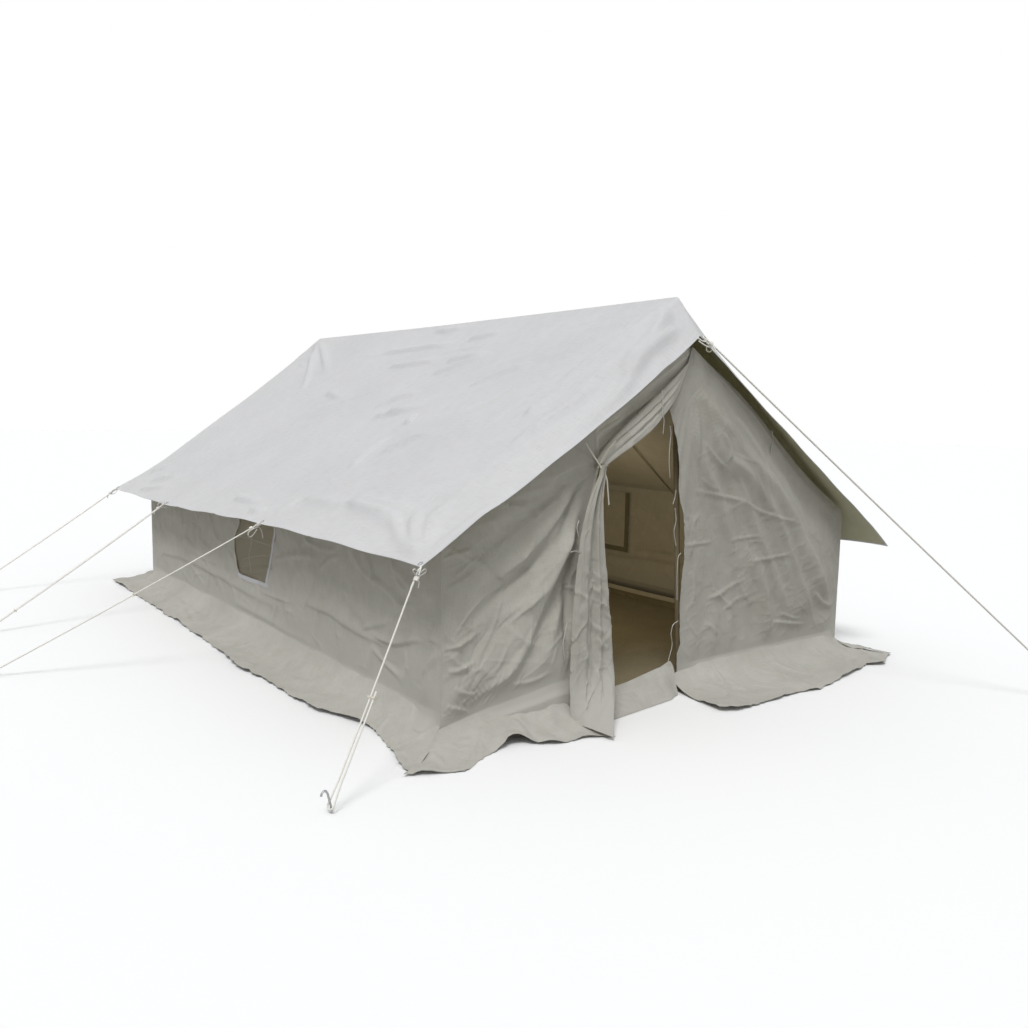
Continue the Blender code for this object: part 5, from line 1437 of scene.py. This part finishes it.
# Mud flaps: strips from the foot of each wall out over the ground. edge holds (place along the wall, distance out),
# lift holds (place, height of the seam), raised holds pixels at both ends of a part of the edge that stands off the
# ground, with its height in m
mud = {"thickness": 0.0022}
mudFlaps = {
    "left": {
        "ends": (-3.0, 3.0), "lift": [(-3, 0.125), (-2.7, 0.20), (2.7, 0.20), (3, 0.11)], "count": 620, "seed": 101,
        "edge": [(-3.27, 0.35), (-3.18, 0.35), (-2.85, 0.26), (-2.54, 0.20), (-2.22, 0.26), (-2.04, 0.35),
                 (-1.12, 0.37), (-0.74, 0.43), (-0.13, 0.36), (0.50, 0.35), (2.24, 0.34), (3.35, 0.35)],
        "raised": [((219, 650), (256, 677), 0.035), ((295, 700), (330, 713), 0.022), ((336, 716), (364, 728), 0.026),
                   ((118, 583), (126, 590), 0.035), ((178, 618), (192, 628), 0.018)]},
    "right": {
        "ends": (-3.0, 3.0), "lift": [(-3, 0.11), (-2.7, 0.20), (2.7, 0.20), (3, 0.11)], "count": 560, "seed": 102,
        "edge": [(-3.35, 0.28), (-3.0, 0.24), (-2.2, 0.34), (-0.8, 0.40), (0.6, 0.36), (1.7, 0.42), (3.35, 0.35)],
        "raised": []},
    "front_left": {
        "ends": (-2.02, -1.15), "lift": [(-2, 0.115), (-1.17, 0.27)], "count": 200, "seed": 103,
        "edge": [(-2.41, 0.27), (-2.09, 0.40), (-1.87, 0.28), (-1.69, 0.24), (-1.59, 0.25), (-1.41, 0.37),
                 (-1.16, 0.40), (-1.02, 0.48)],
        "raised": [((503, 748), (540, 748), 0.055), ((548, 747), (566, 744), 0.020), ((404, 770), (440, 775), 0.02)]},
    "front_right": {
        "ends": (-0.02, 2.0), "lift": [(-0.06, 0.11), (0.25, 0.18), (1.8, 0.18), (2, 0.11)],
        "count": 360, "seed": 104,
        "edge": [(-0.10, 0.40), (-0.10, 0.53), (0.01, 0.60), (0.72, 0.58), (0.90, 0.62), (1.43, 0.52),
                 (1.78, 0.45), (1.90, 0.53), (2.2793, 0.35)],
        "raised": [((716, 712), (748, 706), 0.030), ((764, 698), (784, 692), 0.016), ((796, 688), (818, 688), 0.022),
                   ((838, 680), (866, 667), 0.022), ((872, 668), (890, 660), 0.028)]},
    "back": {
        "ends": (-2.0, 2.0), "lift": [(-2, 0.10), (2, 0.10)], "count": 380, "seed": 105,
        "edge": [(-2.3493, 0.35), (-1.80, 0.64), (-0.6, 0.50), (0.4, 0.56), (1.5, 0.50), (2.3493, 0.35)],
        "raised": []},
}
# creases of the mud flaps that show: slopes on both sides and height in mm, then pixels
mudFolds = {
    "left": [(60, 30, 12, (228, 618), (260, 640), (300, 662), (352, 690)),
             (40, 20, 9, (150, 583), (185, 606), (220, 632)),
             (30, 16, 10, (180, 600), (186, 616), (190, 626)), (26, 14, 9, (384, 712), (400, 720), (412, 738)),
             (30, 16, 10, (296, 655), (320, 676), (344, 694)), (22, 12, 9, (122, 573), (140, 578), (158, 590))],
    "front_left": [(26, 12, 12, (506, 700), (520, 706), (538, 716)), (40, 24, 14, (552, 682), (550, 710), (556, 738)),
                   (24, 12, 9, (446, 742), (462, 750), (480, 748)), (24, 12, 8, (470, 736), (486, 730), (506, 722)),
                   (30, 16, 14, (508, 720), (520, 728), (530, 742)), (20, 12, 8, (430, 752), (440, 762), (446, 770))],
    "front_right": [(22, 12, 9, (700, 684), (720, 690), (742, 688)), (24, 12, 10, (722, 680), (730, 696), (728, 706)),
                    (24, 12, 9, (772, 668), (784, 680), (790, 690)), (30, 16, 12, (838, 652), (846, 664), (842, 676)),
                    (24, 12, 10, (858, 650), (866, 656), (880, 660)),
                    (20, 10, 8, (800, 664), (812, 676), (814, 686))],
}


def toWorld(where, run, out, z):
    if where == "left":
        return np.stack([-room["halfWidth"] - out, run, z], axis=-1)
    if where == "right":
        return np.stack([room["halfWidth"] + out, run, z], axis=-1)
    if where == "back":
        return np.stack([run, room["halfLength"] + out, z], axis=-1)
    return np.stack([run, -room["halfLength"] - out, z], axis=-1)


def buildMudFlap(where, flap):
    low, high = flap["ends"]
    edge = flap["edge"]
    u, v = np.meshgrid(np.linspace(0, 1, flap["count"]), np.linspace(0, 1, 40) ** 1.5)
    innerRun = low + u * (high - low)
    outerRun = edge[0][0] + u * (edge[-1][0] - edge[0][0])
    run = innerRun + v * (outerRun - innerRun)
    reach = np.interp(outerRun, [p[0] for p in edge], [p[1] for p in edge])
    frayed = 0.010 * edgeNoise(outerRun, 0.10, flap["seed"]) + 0.006 * edgeNoise(outerRun, 0.03, 5)
    frayed = frayed + 0.004 * edgeNoise(outerRun, 0.014, 6)
    out = 0.004 + v * (reach + frayed - 0.004)
    lift = np.interp(innerRun, [p[0] for p in flap["lift"]], [p[1] for p in flap["lift"]])
    flat = smooth(out, 0.06, 0.20)
    wave = 0.006 * np.sin(math.pi * v) ** 2 * (1 + np.sin(2 * math.pi * run / 0.7)) * flat
    ruck = 0.014 * np.clip(softNoise(run, out, 0.20, flap["seed"] + 10, 1.0) + 0.2, 0, 1) * flat
    creases = 0.009 * crumple(run, out, 0.20, flap["seed"] + 40, 1.5, 0.6)
    scatterCreases(creases, run, out, flap["seed"] + 20, int(18 * (high - low)), (0.08, 0.35), 0.016, 0.008, 1.4, 0.7)
    if where in mudFolds:
        base = toWorld(where, run, out, lift * np.exp(-out / (0.6 * lift)))
        everywhere = np.ones(run.shape, dtype=bool)
        addFolds(creases, run, out, mudFolds[where], lambda pixel: pickOn(base, run, out, pixel, everywhere))
    curl = 0.012 * np.clip(edgeNoise(outerRun, 0.16, flap["seed"] + 30) + 0.3, 0, 1) * smooth(v, 0.8, 1.0)
    axis = 1 if where in ("left", "right") else 0
    for start, end, height in flap["raised"]:
        spots = [onPlane(pixel, 2, 0.01)[axis] for pixel in (start, end)]
        middle, half = sum(spots) / 2, abs(spots[0] - spots[1]) / 2
        curl = np.maximum(curl, height * np.exp(-(np.abs(outerRun - middle) / half) ** 2.5) * smooth(v, 0.5, 1.0))
    z = mud["thickness"] + 0.001 + lift * np.exp(-out / (0.6 * lift)) * (1 - v ** 3) + wave + ruck
    z = z + np.maximum(creases, -0.002) * smooth(out, 0.03, 0.12) + curl
    points = facingUp(toWorld(where, run, out, z))
    cloth = clothMesh(f"mud_flap_cloth_{where}", points, "apron", mud["thickness"])
    settle(cloth, replaces=[f"mud_flap_{where}"])


def buildSill():
    u, v = np.meshgrid(np.linspace(0, 1, 110), np.linspace(0, 1, 40))
    left = -1.17 + 0.09 * v
    x = left + u * (0.0 - 0.07 * v - left)
    top = np.interp(u, [0, 0.35, 0.6, 0.85, 1.0], [0.06, 0.11, 0.135, 0.185, 0.205])
    roll = 0.030 * np.exp(-v / 0.10)   # the top edge is rolled over softly
    z = 0.004 + (1 - v) ** 1.15 * (top - 0.004) + 0.008 * np.sin(math.pi * v) * np.sin(9 * x)
    field = 0.006 * softNoise(x, v * 0.3, 0.12, 111) * smooth(v, 0, 0.3)
    scatterCreases(field, x, v * 0.3, 112, 40, (0.08, 0.3), 0.014, 0.007, 1.4, 0.6)
    z = np.maximum(z + field * smooth(v, 0, 0.2) * smooth(1 - v, 0, 0.1), 0.003)
    tuck = 0.035 * smooth(u, 0.86, 1.0)   # its right end goes in behind the door flap
    points = facingUp(np.stack([x, -3.030 + roll + tuck - v * (0.245 - 0.12 * u), z], axis=-1))
    cloth = clothMesh("door_sill_cloth", points, "apron")
    settle(cloth, replaces=["door_sill"])


def buildGroundsheet():
    halfX, halfY, rim = room["halfWidth"] - 0.015, room["halfLength"] - 0.015, 0.085
    xs = np.concatenate([[-halfX, -halfX], np.linspace(-halfX + 0.01, halfX - 0.01, 70), [halfX, halfX]])
    ys = np.concatenate([[-halfY, -halfY], np.linspace(-halfY + 0.01, halfY - 0.01, 110), [halfY, halfY]])
    x, y = np.meshgrid(xs, ys)
    z = 0.0034 + 0.0015 * softNoise(x, y, 0.4, 121)
    border = np.zeros(x.shape, dtype=bool)
    border[0], border[-1], border[:, 0], border[:, -1] = True, True, True, True
    z[border] = rim
    points = np.stack([x, y, z], axis=-1)
    cloth = clothMesh("groundsheet_cloth", points, "floor", 0.002)
    settle(cloth, replaces=["groundsheet"])
    # a pale tape sewn along the foot of each side wall, over the edge of the floor
    for name, side in (("left", -1), ("right", 1)):
        ys = np.linspace(-2.94, 2.94, 120)
        path = np.stack([np.full(120, side * (halfX - 0.006)), ys, 0.100 + 0.006 * np.sin(ys * 2.1)], axis=-1)
        tapeStrip(f"floor_edge_tape_{name}", path, 0.045, (-side, 0, 0.1))


for where, flap in mudFlaps.items():
    buildMudFlap(where, flap)
buildSill()
buildGroundsheet()
print("mud flaps and floor laid")


# Floor, sky and lamps
stage = {"bounce": 0.55, "zenith": 0.775, "horizon": 0.21, "sun": 1.60, "glow": 12}


def seenRays(tree):
    # 1 where the camera looks, also by a mirror or through glass, and 0 for the light that bounces on
    light = addNode(tree, "LightPath")
    seen = light.outputs["Is Camera Ray"]
    for kind in ("Glossy", "Transmission"):
        links = {0: seen, 1: light.outputs[f"Is {kind} Ray"]}
        seen = addNode(tree, "Math", {}, links, operation="MAXIMUM").outputs[0]
    return seen


def buildFloor():
    material, tree = newMaterial("studio_floor")
    white = addNode(tree, "BsdfDiffuse", {"Color": (1, 1, 1, 1)})
    grey = addNode(tree, "BsdfDiffuse", {"Color": (stage["bounce"],) * 3 + (1,)})
    mixed = addNode(tree, "MixShader", {}, {0: seenRays(tree), 1: grey.outputs[0], 2: white.outputs[0]})
    addNode(tree, "OutputMaterial", links={"Surface": mixed.outputs[0]})
    mesh = bpy.data.meshes.new("studio_floor")
    size = 60
    mesh.from_pydata([(-size, -size, 0), (size, -size, 0), (size, size, 0), (-size, size, 0)], [], [(0, 1, 2, 3)])
    mesh.materials.append(material)
    floor = addObject("studio_floor", mesh)


def buildSky():
    world = bpy.data.worlds.new("overcast")
    bpy.context.scene.world = world
    world.use_nodes = True
    tree = world.node_tree
    tree.nodes.clear()
    height = addNode(tree, "SeparateXYZ", links={0: addNode(tree, "TexCoord").outputs["Generated"]}).outputs["Z"]
    level = addNode(tree, "MapRange", {1: 0.0, 2: 1.0, 3: stage["horizon"], 4: stage["zenith"]}, {0: height})
    sky = addNode(tree, "Background", {"Color": (0.97, 0.985, 1.0, 1)}, {"Strength": level.outputs[0]})
    white = addNode(tree, "Background", {"Color": (1, 1, 1, 1), "Strength": 1.0})
    mixed = addNode(tree, "MixShader", {}, {0: seenRays(tree), 1: sky.outputs[0], 2: white.outputs[0]})
    addNode(tree, "OutputWorld", links={"Surface": mixed.outputs[0]})


def addSun(name, direction, strength, spread):
    data = bpy.data.lights.new(name, "SUN")
    data.energy = strength
    data.angle = math.radians(spread)
    addObject(name, data).rotation_euler = Vector(direction).to_track_quat("-Z", "Y").to_euler()


def addGlow(place):
    # daylight that comes through two layers of canvas, warm, as one broad soft lamp
    data = bpy.data.lights.new("light_through_canvas", "POINT")
    data.energy = stage["glow"]
    data.color = (1.0, 0.83, 0.54)
    data.shadow_soft_size = 0.6
    addObject("light_through_canvas", data).location = place


buildFloor()
buildSky()
addSun("bright_sky", (0.52, 0.45, -1.0), stage["sun"], 20)
for place in ((0.5, -1.3, 0.95), (0.3, 1.3, 0.95)):
    addGlow(place)
bpy.context.scene.view_settings.view_transform = "Standard"
print("stage set")
